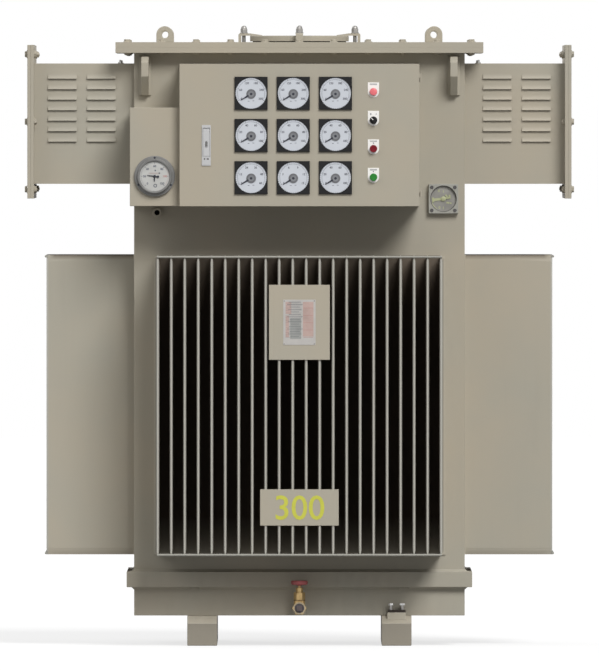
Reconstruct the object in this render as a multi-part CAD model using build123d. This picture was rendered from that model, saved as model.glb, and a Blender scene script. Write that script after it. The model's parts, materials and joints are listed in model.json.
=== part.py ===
from build123d import *
import os

# An oil-filled induction voltage regulator in a finned tank, in millimetres.
# The origin is on the floor under the middle of the tank, +Z is up and the control door faces -Y.

# Shared clearances and margins
overrun = 1.0
running_gap = 0.3
seat_gap = 0.3

# Skids under the tank
skid_height = 100.0
skid_width = 100.0
skid_gauge = 650.0
skid_overhang = 60.0
skid_nose_height = 25.0
skid_nose_length = 32.0

# Tank shell
tank_depth = 900.0
tank_wall = 6.0
tank_floor = 12.0
bare_wall = 165.0

# Stiffening band round the foot of the tank
band_height = 52.0
band_overhang = 25.0
band_lift = 95.0
band_weld = 9.0
weep_width = 30.0
weep_spread = 702.0

# Rim welded round the tank's mouth, and the bolted cover on it
rim_overhang = 62.0
rim_thickness = 18.0
cover_thickness = 18.0

# Lifting eyes on the cover
eye_radius = 28.0
eye_hole_diameter = 24.0
eye_hole_rise = 26.0
eye_thickness = 16.0
eye_inset_x = 102.0
eye_inset_y = 100.0

# Lifting lugs on the tank's front and back walls
lug_inset = 36.5
lug_thickness = 25.0
lug_pad_width = 41.0
lug_pad_thickness = 8.0
lug_height = 130.0
lug_drop = 12.0
lug_reach = 75.0
lug_nose_height = 48.0
lug_shoulder_height = 19.0
lug_shoulder_reach = 48.0
lug_foot_reach = 24.0

# Hand-hole on the cover: neck, lid, and the clamps that their studs pull down
neck_inset = 9.0
neck_height = 4.0
lid_diameter = 332.0
lid_thickness = 19.0
lid_edge = 2.0
clamp_count = 4
clamp_width = 25.0
clamp_toe_reach = 41.0
clamp_toe_thickness = 2.0
clamp_heel_offset = 18.5
clamp_thickness = 8.0
clamp_leg = 10.0
clamp_corner = 6.0
stud_offset = 20.5
stud_diameter = 12.0
stud_washer_diameter = 27.0
stud_washer_thickness = 3.0
stud_nut_diameter = 22.0
stud_nut_height = 23.0

# Corrugated fins
fin_pitch = 45.0
fin_thickness = 10.0
fin_depth = 294.0
fin_height = 1002.0
fin_lift = 203.0
fin_pinch_length = 22.0
fin_pinch_thickness = 3.0
fin_sheet = 4.0
fin_sheet_margin = 16.0
rod_diameter = 8.0
rod_bite = 2.0
rod_overhang = 6.0
fin_front_margin = 75.0
fin_side_margin = 100.0

# Terminal boxes on the tank's left and right walls
terminal_length = 335.0
terminal_depth = 830.0
terminal_height = 403.0
terminal_drop = 53.0
terminal_wall = 3.0
terminal_frame_top = 62.0
terminal_frame_bottom = 49.0
terminal_frame_side = 62.0
terminal_frame_thickness = 11.0
blank_thickness = 11.0

# Louvres pressed out of the terminal boxes' front and back walls
louvre_rows = 7
louvre_columns = 2
louvre_height = 17.0
louvre_reach = 8.0
louvre_sheet = 2.0
louvre_pitch_z = 35.1
louvre_gap = 34.5
louvre_tank_margin = 61.5
louvre_end_margin = 47.0
louvre_first_drop = 51.0

# Control box on the tank's front wall
control_inset = 153.0
control_left_room = 184.0
control_right_room = 224.6
control_depth = 223.0
control_drop = 55.0
control_wall = 3.0
control_lip = 14.0

# Overlay door of the control box
door_gap = 5.0
door_depth = 22.0
door_sheet = 2.5

# Lift-off hinges on the right-hand edge of the door
hinge_radius = 4.0
hinge_pin_radius = 2.0
hinge_side_gap = 0.5
hinge_height = 29.0
hinge_inset = 32.0
hinge_leaf_thickness = 3.0
hinge_leaf_length = 34.0
hinge_door_leaf_length = 18.0
hinge_split_gap = 0.4

# Panel meters, three by three
meter_size = 110.0
meter_pitch = 140.7
meter_rows = 3
meter_columns = 3
meter_top_margin = 98.0
meter_bottom_margin = 95.6
meter_proud = 8.0
meter_edge = 2.0
meter_rim = 3.0
meter_recess = 4.0
meter_dial_thickness = 1.5
meter_shoulder = 3.0
meter_barrel_length = 52.0
meter_hole_clearance = 1.0

# Lamp, selector and push buttons in a column
switch_inset = 153.0
switch_first_drop = 93.0
switch_pitch = 95.0
switch_count = 4
legend_width = 37.4
legend_rise = 31.0
legend_thickness = 1.5
bezel_diameter = 24.0
bezel_bore_diameter = 17.0
bezel_height = 2.5
switch_block_width = 30.0
switch_block_height = 42.0
switch_block_depth = 46.0
switch_collar_length = 14.0
cap_diameter = 25.0
cap_height = 6.0
cap_edge = 2.0
button_travel = 4.0
cap_clearance = 1.5
stem_gap = 0.5
lamp_height = 8.0
knob_height = 15.0
knob_disc_height = 5.0
knob_grip_width = 9.0
knob_angle = 45.0

# Flush lever handle on the door
handle_inset = 89.5
handle_width = 30.0
handle_height = 136.0
handle_drop = 204.0
handle_flange = 3.0
handle_tub_depth = 15.0
handle_tub_inset = 2.0
handle_corner = 3.0
lever_margin = 4.0
lever_bottom_room = 32.0
lever_thickness = 8.0
lever_side_gap = 1.0
lever_end_gap = 3.0
lever_floor_gap = 4.0
lever_top_inset = 12.0
lever_pivot_inset = 5.0
lever_pin_diameter = 4.0
keyhole_width = 8.0
keyhole_length = 22.0
keyhole_depth = 5.0
keyhole_drop = 53.0
push_height = 17.0
push_proud = 1.0

# Thermometer box beside the control box, with its dial thermometer
thermo_box_width = 166.0
thermo_lug_gap = 41.0
thermo_box_depth = 208.0
thermo_dial_rise = 100.0
thermo_case_diameter = 136.0
thermo_case_depth = 24.0
thermo_flange_depth = 11.0
thermo_flange_width = 10.0
thermo_ring_width = 8.0
thermo_recess = 8.0
thermo_edge = 2.0

# Oil-level gauge on the tank wall
oil_gap = 31.5
oil_rise = 24.0
oil_plate = 100.0
oil_plate_thickness = 21.0
oil_corner = 6.0
oil_edge = 1.5
oil_rim = 6.0
oil_recess = 11.0

# Plugless test socket under the thermometer box
socket_inset = 77.0
socket_drop = 22.0
socket_diameter = 31.0
socket_bore_diameter = 18.0
socket_length = 42.0
socket_bore_depth = 34.0
socket_chamfer = 1.5

# Drain pipe and gate valve at the foot of the tank
drain_rise = 26.0
drain_pipe_diameter = 34.0
drain_pipe_length = 38.0
valve_hex_width = 41.0
valve_hex_length = 15.0
valve_barrel_diameter = 36.0
valve_barrel_length = 34.0
valve_chamber_diameter = 38.0
bonnet_width = 33.0
bonnet_rise = 27.0
bonnet_height = 26.0
gland_width = 21.0
gland_height = 16.0
nut_chamfer = 2.5
stem_rod_diameter = 9.0
stem_rod_end = 4.0
plug_diameter = 32.0
plug_depth = 9.0
plug_head = 17.0
plug_head_height = 11.0
wheel_diameter = 56.0
wheel_rim = 7.5
wheel_hub_diameter = 18.0
wheel_hub_height = 11.0
wheel_clearance = 6.0
wheel_dish = 9.5
wheel_spokes = 4
wheel_spoke_width = 6.0
wheel_spoke_height = 5.0

# Earth pad on the right-hand skid
earth_width = 62.0
earth_depth = 46.0
earth_height = 11.0

# Plates on the tips of the front fins
bracket_width = 203.0
bracket_height = 250.0
bracket_drop = 97.0
bracket_depth = 5.0
bracket_sheet = 2.0
nameplate_width = 108.0
nameplate_height = 151.0
nameplate_thickness = 1.0
number_width = 262.0
number_height = 121.0
number_rise = 102.0
number_sheet = 3.0

# Levels and faces that several pieces share
meters_width = (meter_columns - 1) * meter_pitch + meter_size
control_width = control_left_room + meters_width + control_right_room
tank_width = control_width + 2 * control_inset
control_height = meter_top_margin + (meter_rows - 1) * meter_pitch + meter_bottom_margin
fin_bottom = skid_height + fin_lift
fin_top = fin_bottom + fin_height
control_bottom = fin_top + bare_wall
control_top = control_bottom + control_height
tank_top = control_top + control_drop
cover_top = tank_top + cover_thickness
front_y = -tank_depth / 2
side_x = tank_width / 2
rim_bottom = tank_top - rim_thickness
lug_bottom = rim_bottom - lug_drop - lug_height
fin_tip_y = front_y - fin_depth
control_mouth_y = front_y - control_depth
door_back_y = control_mouth_y - door_gap
door_y = door_back_y - door_depth
door_inner_y = door_y + door_sheet
door_right_x = control_width / 2
hinge_x = door_right_x + hinge_radius + hinge_side_gap
hinge_y = (control_mouth_y + door_back_y) / 2
terminal_top = tank_top - terminal_drop
terminal_bottom = terminal_top - terminal_height
terminal_end_x = side_x + terminal_length
lid_top = cover_top + neck_height + lid_thickness
clamp_top = lid_top + clamp_thickness
clamp_circle = lid_diameter + 2 * stud_offset
legend_y = door_y - legend_thickness
bezel_y = legend_y - bezel_height
cap_lift = button_travel + cap_clearance
stem_diameter = bezel_bore_diameter - 2 * stem_gap
meter_window_diameter = meter_size - 2 * meter_rim
meter_barrel_diameter = meter_window_diameter - 2 * meter_shoulder
handle_x = handle_inset - control_width / 2
lever_width = handle_width - 2 * lever_margin
lever_length = handle_height - lever_top_inset - lever_bottom_room
thermo_ring_diameter = thermo_case_diameter - 2 * thermo_flange_width
thermo_window_diameter = thermo_ring_diameter - 2 * thermo_ring_width
oil_x = control_width / 2 + oil_gap + oil_plate / 2
oil_z = control_bottom + oil_rise
oil_window_diameter = oil_plate - 2 * oil_rim
drain_z = skid_height + drain_rise


def block(low, high):
    """A box between two corners."""
    size = [b - a for a, b in zip(low, high)]
    middle = [(a + b) / 2 for a, b in zip(low, high)]
    return Pos(*middle) * Box(*size)


def facing(x, y, z):
    """A drawing plane at a point, facing the front, with its own Y pointing up."""
    return Plane(origin=(x, y, z), x_dir=(1, 0, 0), z_dir=(0, -1, 0))


def sideways(x, y=0, z=0):
    """A drawing plane at a point, facing +X, with its own X along Y and its own Y pointing up."""
    return Plane(origin=(x, y, z), x_dir=(0, 1, 0), z_dir=(1, 0, 0))


def disc(x, y, z, diameter, length):
    """A round bar that starts at a point and runs towards the front."""
    return extrude(facing(x, y, z) * Circle(diameter / 2), amount=length)


def turned(*points):
    """A solid of revolution about Z from points given as radius and height."""
    return revolve(Plane.XZ * Polygon(*points, align=None), axis=Axis.Z)


def turned_facing(x, y, z, *points):
    """A solid of revolution that starts at a point, its heights running towards the front."""
    return Pos(x, y, z) * Rot(90, 0, 0) * turned(*points)


def hexagon(width):
    """A hexagon of a given width across its flats, with corners left and right."""
    return RegularPolygon(radius=width / 2, side_count=6, major_radius=False)


def mirrored_in_x(shape):
    return mirror(shape, about=Plane.YZ)


def mirrored_in_y(shape):
    return mirror(shape, about=Plane.XZ)


def separate(solids):
    """Like pieces that share a node without touching."""
    return Compound(children=list(solids))


# Foot of the tank


def skid(x):
    half = tank_depth / 2 + skid_overhang
    side = Polygon(
        (-half, 0),
        (half, 0),
        (half, skid_height - skid_nose_height),
        (half - skid_nose_length, skid_height),
        (-half + skid_nose_length, skid_height),
        (-half, skid_height - skid_nose_height),
        align=None,
    )
    return extrude(sideways(x) * side, skid_width / 2, both=True)


def collar(bottom, height, overhang):
    """A frame that fits round the tank's walls."""
    outline = Rectangle(tank_width + 2 * overhang, tank_depth + 2 * overhang)
    return extrude(Pos(0, 0, bottom) * (outline - Rectangle(tank_width, tank_depth)), height)


def base_band():
    """A band with a weld along its top and bottom edges, interrupted below to let water out."""
    section = Polygon(
        (0, -band_weld),
        (band_weld, 0),
        (band_overhang, 0),
        (band_overhang, band_height),
        (band_weld, band_height),
        (0, band_height + band_weld),
        align=None,
    )
    bottom = skid_height + band_lift
    start = Plane(origin=(0, front_y, bottom), x_dir=(0, -1, 0), z_dir=(-1, 0, 0))
    corners = [(side_x, front_y), (side_x, -front_y), (-side_x, -front_y), (-side_x, front_y)]
    route = Polyline(*[(x, y, bottom) for x, y in [(0, front_y), *corners, (0, front_y)]])
    band = sweep(start * section, path=route, transition=Transition.RIGHT)
    half = weep_width / 2
    weep = block(
        (weep_spread / 2 - half, front_y - band_overhang, bottom - band_weld - overrun),
        (weep_spread / 2 + half, front_y + overrun, bottom),
    )
    weeps = [weep, mirrored_in_x(weep)]
    return band - weeps - [mirrored_in_y(w) for w in weeps]


def tank_body():
    outer = block((-side_x, front_y, skid_height), (side_x, -front_y, tank_top))
    inner_x = side_x - tank_wall
    inner_y = -front_y - tank_wall
    inner = block((-inner_x, -inner_y, skid_height + tank_floor), (inner_x, inner_y, tank_top + overrun))
    return outer - inner


def cover_plate():
    half_x = side_x + rim_overhang
    half_y = tank_depth / 2 + rim_overhang
    return block((-half_x, -half_y, tank_top), (half_x, half_y, cover_top))


# Lifting gear


def lifting_eye(x, y):
    outline = Pos(0, eye_hole_rise) * Circle(eye_radius)
    outline += Pos(0, eye_hole_rise / 2) * Rectangle(2 * eye_radius, eye_hole_rise)
    outline -= Pos(0, eye_hole_rise) * Circle(eye_hole_diameter / 2)
    outline -= Pos(0, -eye_radius) * Rectangle(2 * eye_radius, 2 * eye_radius)
    return extrude(facing(x, y, cover_top) * outline, eye_thickness / 2, both=True)


def lifting_lug(x):
    top = rim_bottom - lug_drop
    bottom = lug_bottom
    nose_top = top - lug_shoulder_height
    pad_y = front_y - lug_pad_thickness
    side = Polygon(
        (pad_y, bottom),
        (front_y - lug_foot_reach, bottom),
        (front_y - lug_reach, nose_top - lug_nose_height),
        (front_y - lug_reach, nose_top),
        (front_y - lug_shoulder_reach, top),
        (pad_y, top),
        align=None,
    )
    plate = extrude(sideways(x) * side, lug_thickness / 2, both=True)
    half_pad = lug_pad_width / 2
    return plate + block((x - half_pad, pad_y, bottom), (x + half_pad, front_y, top))


# Hand-hole on the cover


def around(solid, count):
    """Copies of a piece, evenly turned about Z."""
    return [Rot(0, 0, 360 / count * i) * solid for i in range(count)]


def handhole_neck():
    return Pos(0, 0, cover_top + neck_height / 2) * Cylinder(lid_diameter / 2 - neck_inset, neck_height)


def handhole_lid():
    lid = Pos(0, 0, lid_top - lid_thickness / 2) * Cylinder(lid_diameter / 2, lid_thickness)
    return chamfer(lid.edges().sort_by(Axis.Z)[-1], lid_edge)


def lid_clamp():
    """A bent clamp with its toe on the lid and its heel on the cover, drilled for its stud."""
    lid_y = -lid_diameter / 2
    toe_y = lid_y + clamp_toe_reach
    heel_y = -clamp_circle / 2 - clamp_heel_offset
    side = Polygon(
        (toe_y, lid_top),
        (toe_y, lid_top + clamp_toe_thickness),
        (lid_y, clamp_top),
        (heel_y, clamp_top),
        (heel_y, cover_top),
        (heel_y + clamp_leg, cover_top),
        (heel_y + clamp_leg, lid_top),
        align=None,
    )
    clamp = extrude(Plane.YZ * side, clamp_width / 2, both=True)
    heel = clamp.edges().filter_by(Axis.X).group_by(Axis.Z)[-1].sort_by(Axis.Y)[0]
    clamp = fillet(heel, clamp_corner)
    hole = Cylinder(stud_diameter / 2 + seat_gap, 2 * clamp_top)
    return clamp - Pos(0, -clamp_circle / 2, clamp_top) * hole


def clamp_stud():
    """A stud welded to the cover, with a washer and a domed nut."""
    radius = stud_nut_diameter / 2
    nut_bottom = clamp_top + stud_washer_thickness
    shank = Pos(0, 0, cover_top) * extrude(Circle(stud_diameter / 2), nut_bottom - cover_top)
    washer = Pos(0, 0, clamp_top) * extrude(Circle(stud_washer_diameter / 2), stud_washer_thickness)
    nut = Pos(0, 0, nut_bottom) * extrude(Circle(radius), stud_nut_height - radius)
    dome = Pos(0, 0, nut_bottom + stud_nut_height - radius) * Sphere(radius)
    return Pos(0, -clamp_circle / 2, 0) * (shank + washer + nut + dome)


# Corrugated cooling walls


def fin():
    """One fin on the plane Y = 0, pointing towards the front, pinched at its top and bottom."""
    half = fin_thickness / 2
    straight = fin_depth - half
    plan = Pos(0, -straight / 2) * Rectangle(fin_thickness, straight) + Pos(0, -straight) * Circle(half)
    blade = extrude(plan, fin_height)
    tip = fin_pinch_thickness / 2
    wedge = Polygon(
        (half, fin_height - fin_pinch_length),
        (half + overrun, fin_height - fin_pinch_length),
        (half + overrun, fin_height + overrun),
        (tip, fin_height + overrun),
        (tip, fin_height),
        align=None,
    )
    cutter = extrude(Plane.XZ * wedge, fin_depth + overrun)
    cutters = [cutter, mirrored_in_x(cutter)]
    flipped = [Pos(0, 0, fin_height) * mirror(c, about=Plane.XY) for c in cutters]
    return blade - cutters - flipped


def fin_bank(width):
    """A cooling wall on the plane Y = 0: as many fins as a width takes, and two rods along their tips."""
    count = int(width / fin_pitch) + 1
    run = (count - 1) * fin_pitch
    half_sheet = run / 2 + fin_sheet_margin
    wall = block((-half_sheet, -fin_sheet, 0), (half_sheet, 0, fin_height))
    blade = fin()
    blades = [Pos(i * fin_pitch - run / 2, 0, 0) * blade for i in range(count)]
    rod_length = run + fin_thickness + 2 * rod_overhang
    rod_radius = rod_diameter / 2
    rod = Rot(0, 90, 0) * Cylinder(rod_radius, rod_length)
    rod_y = -(fin_depth + rod_radius - rod_bite)
    rods = [Pos(0, rod_y, z) * rod for z in (rod_radius, fin_height - rod_radius)]
    return wall + blades + rods


def placed_banks():
    long_bank = Pos(0, front_y, fin_bottom) * fin_bank(tank_width - 2 * fin_front_margin)
    side_bank = fin_bank(tank_depth - 2 * fin_side_margin)
    short_bank = Pos(side_x, 0, fin_bottom) * Rot(0, 0, 90) * side_bank
    return {
        "front_fins": long_bank,
        "back_fins": mirrored_in_y(long_bank),
        "right_fins": short_bank,
        "left_fins": mirrored_in_x(short_bank),
    }


# Terminal boxes


def louvre_width():
    run = terminal_length - louvre_tank_margin - louvre_end_margin
    return (run + louvre_gap) / louvre_columns - louvre_gap


def louvre_places():
    width = louvre_width()
    first_x = side_x + louvre_tank_margin + width / 2
    first_z = terminal_top - louvre_first_drop
    return [
        (first_x + column * (width + louvre_gap), first_z - row * louvre_pitch_z)
        for column in range(louvre_columns)
        for row in range(louvre_rows)
    ]


def louvre_hood(x, z):
    """The outer wedge of one louvre on the box's front wall, with its open edge at the bottom."""
    side = Polygon((0, louvre_height), (-louvre_reach, 0), (0, 0), align=None)
    return extrude(sideways(x, -terminal_depth / 2, z) * side, louvre_width() / 2, both=True)


def louvre_mouth(x, z):
    """The hollow under a louvre's hood, through the wall behind it."""
    inside = terminal_wall + overrun
    top = louvre_height - 2 * louvre_sheet
    side = Polygon((inside, top), (0, top), (louvre_sheet - louvre_reach, 0), (inside, 0), align=None)
    half = louvre_width() / 2 - louvre_sheet
    return extrude(sideways(x, -terminal_depth / 2, z) * side, half, both=True)


def terminal_box():
    half = terminal_depth / 2
    box = block((side_x, -half, terminal_bottom), (terminal_end_x, half, terminal_top))
    inner = half - terminal_wall
    box -= block(
        (side_x - overrun, -inner, terminal_bottom + terminal_wall),
        (terminal_end_x + overrun, inner, terminal_top - terminal_wall),
    )
    hoods = [louvre_hood(x, z) for x, z in louvre_places()]
    mouths = [louvre_mouth(x, z) for x, z in louvre_places()]
    box = box + hoods + [mirrored_in_y(h) for h in hoods]
    return box - mouths - [mirrored_in_y(m) for m in mouths]


def end_plate(start_x, thickness):
    half = terminal_depth / 2 + terminal_frame_side
    low = terminal_bottom - terminal_frame_bottom
    high = terminal_top + terminal_frame_top
    return block((start_x, -half, low), (start_x + thickness, half, high))


def terminal_flange():
    inner = terminal_depth / 2 - terminal_wall
    plate = end_plate(terminal_end_x, terminal_frame_thickness)
    return plate - block(
        (terminal_end_x - overrun, -inner, terminal_bottom + terminal_wall),
        (terminal_end_x + terminal_frame_thickness + overrun, inner, terminal_top - terminal_wall),
    )


def blank_plates():
    right = end_plate(terminal_end_x + terminal_frame_thickness, blank_thickness)
    return mirrored_in_x(right), right


# Control box and its door


def control_box():
    half = control_width / 2
    box = block((-half, control_mouth_y, control_bottom), (half, front_y, control_top))
    inner = half - control_wall
    box -= block(
        (-inner, control_mouth_y + control_wall, control_bottom + control_wall),
        (inner, front_y - control_wall, control_top - control_wall),
    )
    mouth = inner - control_lip
    return box - block(
        (-mouth, control_mouth_y - overrun, control_bottom + control_wall + control_lip),
        (mouth, control_mouth_y + control_wall + overrun, control_top - control_wall - control_lip),
    )


def hinge_bottoms():
    return [control_bottom + hinge_inset, control_top - hinge_inset - hinge_height]


def box_hinge_leaf(z):
    """The lower half of a hinge, on the box's side wall, with the pin that the door drops on."""
    half = (hinge_height - hinge_split_gap) / 2
    knuckle = Pos(hinge_x, hinge_y, z + half / 2) * Cylinder(hinge_radius, half)
    pin = Pos(hinge_x, hinge_y, z + hinge_height / 2) * Cylinder(hinge_pin_radius, hinge_height)
    leaf = block(
        (door_right_x, hinge_y, z),
        (door_right_x + hinge_leaf_thickness, hinge_y + hinge_leaf_length, z + half),
    )
    return knuckle + pin + leaf


def door_hinge_leaf(z):
    """The upper half of a hinge, on the door's edge, with a bore for the pin."""
    half = (hinge_height - hinge_split_gap) / 2
    bottom = z + hinge_height - half
    knuckle = Pos(hinge_x, hinge_y, bottom + half / 2) * Cylinder(hinge_radius, half)
    leaf = block(
        (door_right_x, hinge_y - hinge_door_leaf_length, bottom),
        (door_right_x + hinge_leaf_thickness, hinge_y, bottom + half),
    )
    bore = Pos(hinge_x, hinge_y, bottom) * Cylinder(hinge_pin_radius + running_gap, 2 * hinge_height)
    return knuckle + leaf - bore


def meter_places():
    first_x = control_left_room - control_width / 2 + meter_size / 2
    first_z = control_top - meter_top_margin
    return [
        (first_x + column * meter_pitch, first_z - row * meter_pitch)
        for row in range(meter_rows)
        for column in range(meter_columns)
    ]


def switch_places():
    first_z = control_top - switch_first_drop
    return [(control_width / 2 - switch_inset, first_z - i * switch_pitch) for i in range(switch_count)]


def handle_z():
    return control_top - handle_drop - handle_height / 2


def control_door():
    half = control_width / 2
    door = block((-half, door_y, control_bottom), (half, door_back_y, control_top))
    inner = half - door_sheet
    door -= block(
        (-inner, door_inner_y, control_bottom + door_sheet),
        (inner, door_back_y + overrun, control_top - door_sheet),
    )
    hole_diameter = meter_barrel_diameter + 2 * meter_hole_clearance
    holes = [disc(x, door_inner_y + overrun, z, hole_diameter, door_depth) for x, z in meter_places()]
    switches = switch_places()
    holes += [disc(x, door_inner_y + overrun, z, bezel_bore_diameter, door_depth) for x, z in switches]
    tub = Rectangle(handle_width - 2 * handle_tub_inset, handle_height - 2 * handle_tub_inset)
    holes.append(extrude(facing(handle_x, door_inner_y + overrun, handle_z()) * tub, door_depth))
    return door - holes


def meter_case(x, z):
    bezel = extrude(facing(x, door_y, z) * Rectangle(meter_size, meter_size), meter_proud)
    bezel = chamfer(bezel.faces().sort_by(Axis.Y)[0].edges(), meter_edge)
    barrel = disc(x, door_y + meter_barrel_length, z, meter_barrel_diameter, meter_barrel_length)
    face_y = door_y - meter_proud
    return bezel + barrel - disc(x, face_y + meter_recess, z, meter_window_diameter, meter_recess + overrun)


def meter_dial(x, z):
    floor_y = door_y - meter_proud + meter_recess
    return disc(x, floor_y, z, meter_window_diameter - 2 * seat_gap, meter_dial_thickness)


def legend_plate(x, z):
    half = legend_width / 2
    outline = Circle(half) + Pos(0, legend_rise / 2) * Rectangle(legend_width, legend_rise)
    outline -= Circle(bezel_bore_diameter / 2)
    return extrude(facing(x, door_y, z) * outline, legend_thickness)


def switch_body(x, z):
    """The bezel ring in front of the legend plate, and the contact block behind the door."""
    ring = Circle(bezel_diameter / 2) - Circle(bezel_bore_diameter / 2)
    front = extrude(facing(x, legend_y, z) * ring, bezel_height)
    collar_y = door_inner_y + switch_collar_length
    rear = extrude(facing(x, collar_y, z) * ring, switch_collar_length)
    contact = extrude(
        facing(x, collar_y + switch_block_depth, z) * Rectangle(switch_block_width, switch_block_height),
        switch_block_depth,
    )
    return [front, rear + contact]


def domed_cap(x, z, height):
    """A round cap with a rounded front edge, clear of the bezel ring by its travel."""
    cap = disc(x, bezel_y - cap_lift, z, cap_diameter, height)
    return fillet(cap.edges().sort_by(Axis.Y)[0], cap_edge)


def cap_stem(x, z, diameter):
    """The stem behind a cap, down the bore of its bezel."""
    back_y = door_inner_y + switch_collar_length - button_travel - overrun
    return disc(x, back_y, z, diameter, back_y - (bezel_y - cap_lift))


def push_button(x, z):
    return domed_cap(x, z, cap_height) + cap_stem(x, z, stem_diameter)


def pilot_lamp(x, z):
    lens = disc(x, bezel_y, z, cap_diameter, lamp_height)
    return fillet(lens.edges().sort_by(Axis.Y)[0], cap_edge)


def selector_knob(x, z):
    face_y = bezel_y - running_gap
    base = disc(x, face_y, z, cap_diameter, knob_disc_height)
    bar = Rot(0, 0, knob_angle) * Rectangle(knob_grip_width, cap_diameter + overrun)
    grip = extrude(facing(x, face_y, z) * bar, knob_height)
    grip = grip & disc(x, face_y, z, cap_diameter, knob_height)
    back_y = door_inner_y + switch_collar_length - overrun
    return base + grip + disc(x, back_y, z, stem_diameter, back_y - face_y)


def lever_top_z():
    return handle_z() + handle_height / 2 - lever_top_inset


def lever_pivot():
    return door_y - handle_flange + lever_thickness / 2, lever_top_z() - lever_pivot_inset


def handle_plate():
    z = handle_z()
    rounded = RectangleRounded(handle_width, handle_height, handle_corner)
    flange = extrude(facing(handle_x, door_y, z) * rounded, handle_flange)
    tub_width = handle_width - 2 * handle_tub_inset - 2 * seat_gap
    tub_height = handle_height - 2 * handle_tub_inset - 2 * seat_gap
    tub_y = door_y + handle_tub_depth
    tub = extrude(facing(handle_x, tub_y, z) * Rectangle(tub_width, tub_height), handle_tub_depth)
    front = door_y - handle_flange
    half = lever_width / 2 + lever_side_gap
    top = lever_top_z()
    pocket = block(
        (handle_x - half, front - overrun, top - lever_length - lever_end_gap),
        (handle_x + half, front + lever_thickness + lever_floor_gap, top + lever_end_gap),
    )
    pivot_y, pivot_z = lever_pivot()
    pin = Rot(0, 90, 0) * Cylinder(lever_pin_diameter / 2, 2 * half + overrun)
    push_bottom = z - handle_height / 2 + handle_corner
    push = block(
        (handle_x - lever_width / 2, front - push_proud, push_bottom),
        (handle_x + lever_width / 2, front, push_bottom + push_height),
    )
    return flange + tub - pocket + Pos(handle_x, pivot_y, pivot_z) * pin + push


def handle_lever():
    front = door_y - handle_flange
    top = lever_top_z()
    half = lever_width / 2
    low = (handle_x - half, front, top - lever_length)
    lever = block(low, (handle_x + half, front + lever_thickness, top))
    pivot_y, pivot_z = lever_pivot()
    bore = Cylinder(lever_pin_diameter / 2 + running_gap, lever_width + overrun)
    keyhole = SlotOverall(keyhole_length, keyhole_width, rotation=90)
    lock_y = front + keyhole_depth
    lock = extrude(facing(handle_x, lock_y, top - keyhole_drop) * keyhole, keyhole_depth + overrun)
    return lever - lock - Pos(handle_x, pivot_y, pivot_z) * Rot(0, 90, 0) * bore


# Gauges and fittings on the tank


def thermometer_box():
    right = -control_width / 2
    low = (right - thermo_box_width, front_y - thermo_box_depth, control_bottom)
    return block(low, (right, front_y, lug_bottom - thermo_lug_gap))


def thermometer_place():
    x = -(control_width + thermo_box_width) / 2
    return x, front_y - thermo_box_depth, control_bottom + thermo_dial_rise


def thermometer_case():
    """A flanged case with a raised ring round its window."""
    outer = thermo_case_diameter / 2
    ring = thermo_ring_diameter / 2
    window = thermo_window_diameter / 2
    return turned_facing(
        *thermometer_place(),
        (0, 0),
        (outer, 0),
        (outer, thermo_flange_depth - thermo_edge),
        (outer - thermo_edge, thermo_flange_depth),
        (ring, thermo_flange_depth),
        (ring, thermo_case_depth - thermo_edge),
        (ring - thermo_edge, thermo_case_depth),
        (window, thermo_case_depth),
        (window, thermo_case_depth - thermo_recess),
        (0, thermo_case_depth - thermo_recess),
    )


def thermometer_dial():
    x, y, z = thermometer_place()
    floor_y = y - thermo_case_depth + thermo_recess
    return disc(x, floor_y, z, thermo_window_diameter - 2 * seat_gap, meter_dial_thickness)


def oil_gauge_case():
    outline = RectangleRounded(oil_plate, oil_plate, oil_corner)
    plate = extrude(facing(oil_x, front_y, oil_z) * outline, oil_plate_thickness)
    plate = chamfer(plate.faces().sort_by(Axis.Y)[0].edges(), oil_edge)
    floor_y = front_y - oil_plate_thickness + oil_recess
    return plate - disc(oil_x, floor_y, oil_z, oil_window_diameter, oil_recess + overrun)


def oil_gauge_dial():
    floor_y = front_y - oil_plate_thickness + oil_recess
    return disc(oil_x, floor_y, oil_z, oil_window_diameter - 2 * seat_gap, meter_dial_thickness)


def test_socket():
    x = socket_inset - side_x
    z = control_bottom - socket_drop
    boss = disc(x, front_y, z, socket_diameter, socket_length)
    boss = chamfer(boss.edges().sort_by(Axis.Y)[0], socket_chamfer)
    floor_y = front_y - socket_length + socket_bore_depth
    return boss - disc(x, floor_y, z, socket_bore_diameter, socket_bore_depth + overrun)


def valve_levels():
    """Faces of the drain valve: its inlet and outlet, and the middle of its stem."""
    inlet_y = front_y - drain_pipe_length
    outlet_y = inlet_y - 2 * valve_hex_length - valve_barrel_length
    return inlet_y, outlet_y, (inlet_y + outlet_y) / 2


def bonnet_top():
    return drain_z + bonnet_rise + bonnet_height


def gland_top():
    return bonnet_top() + gland_height


def nut(width, height):
    """A hexagon nut standing on Z = 0, with the corners of its top turned off."""
    reach = width / 2 + nut_chamfer
    outline = [(0, 0), (reach, 0), (reach, height - nut_chamfer), (width / 2, height), (0, height)]
    return extrude(hexagon(width), height) & turned(*outline)


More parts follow.
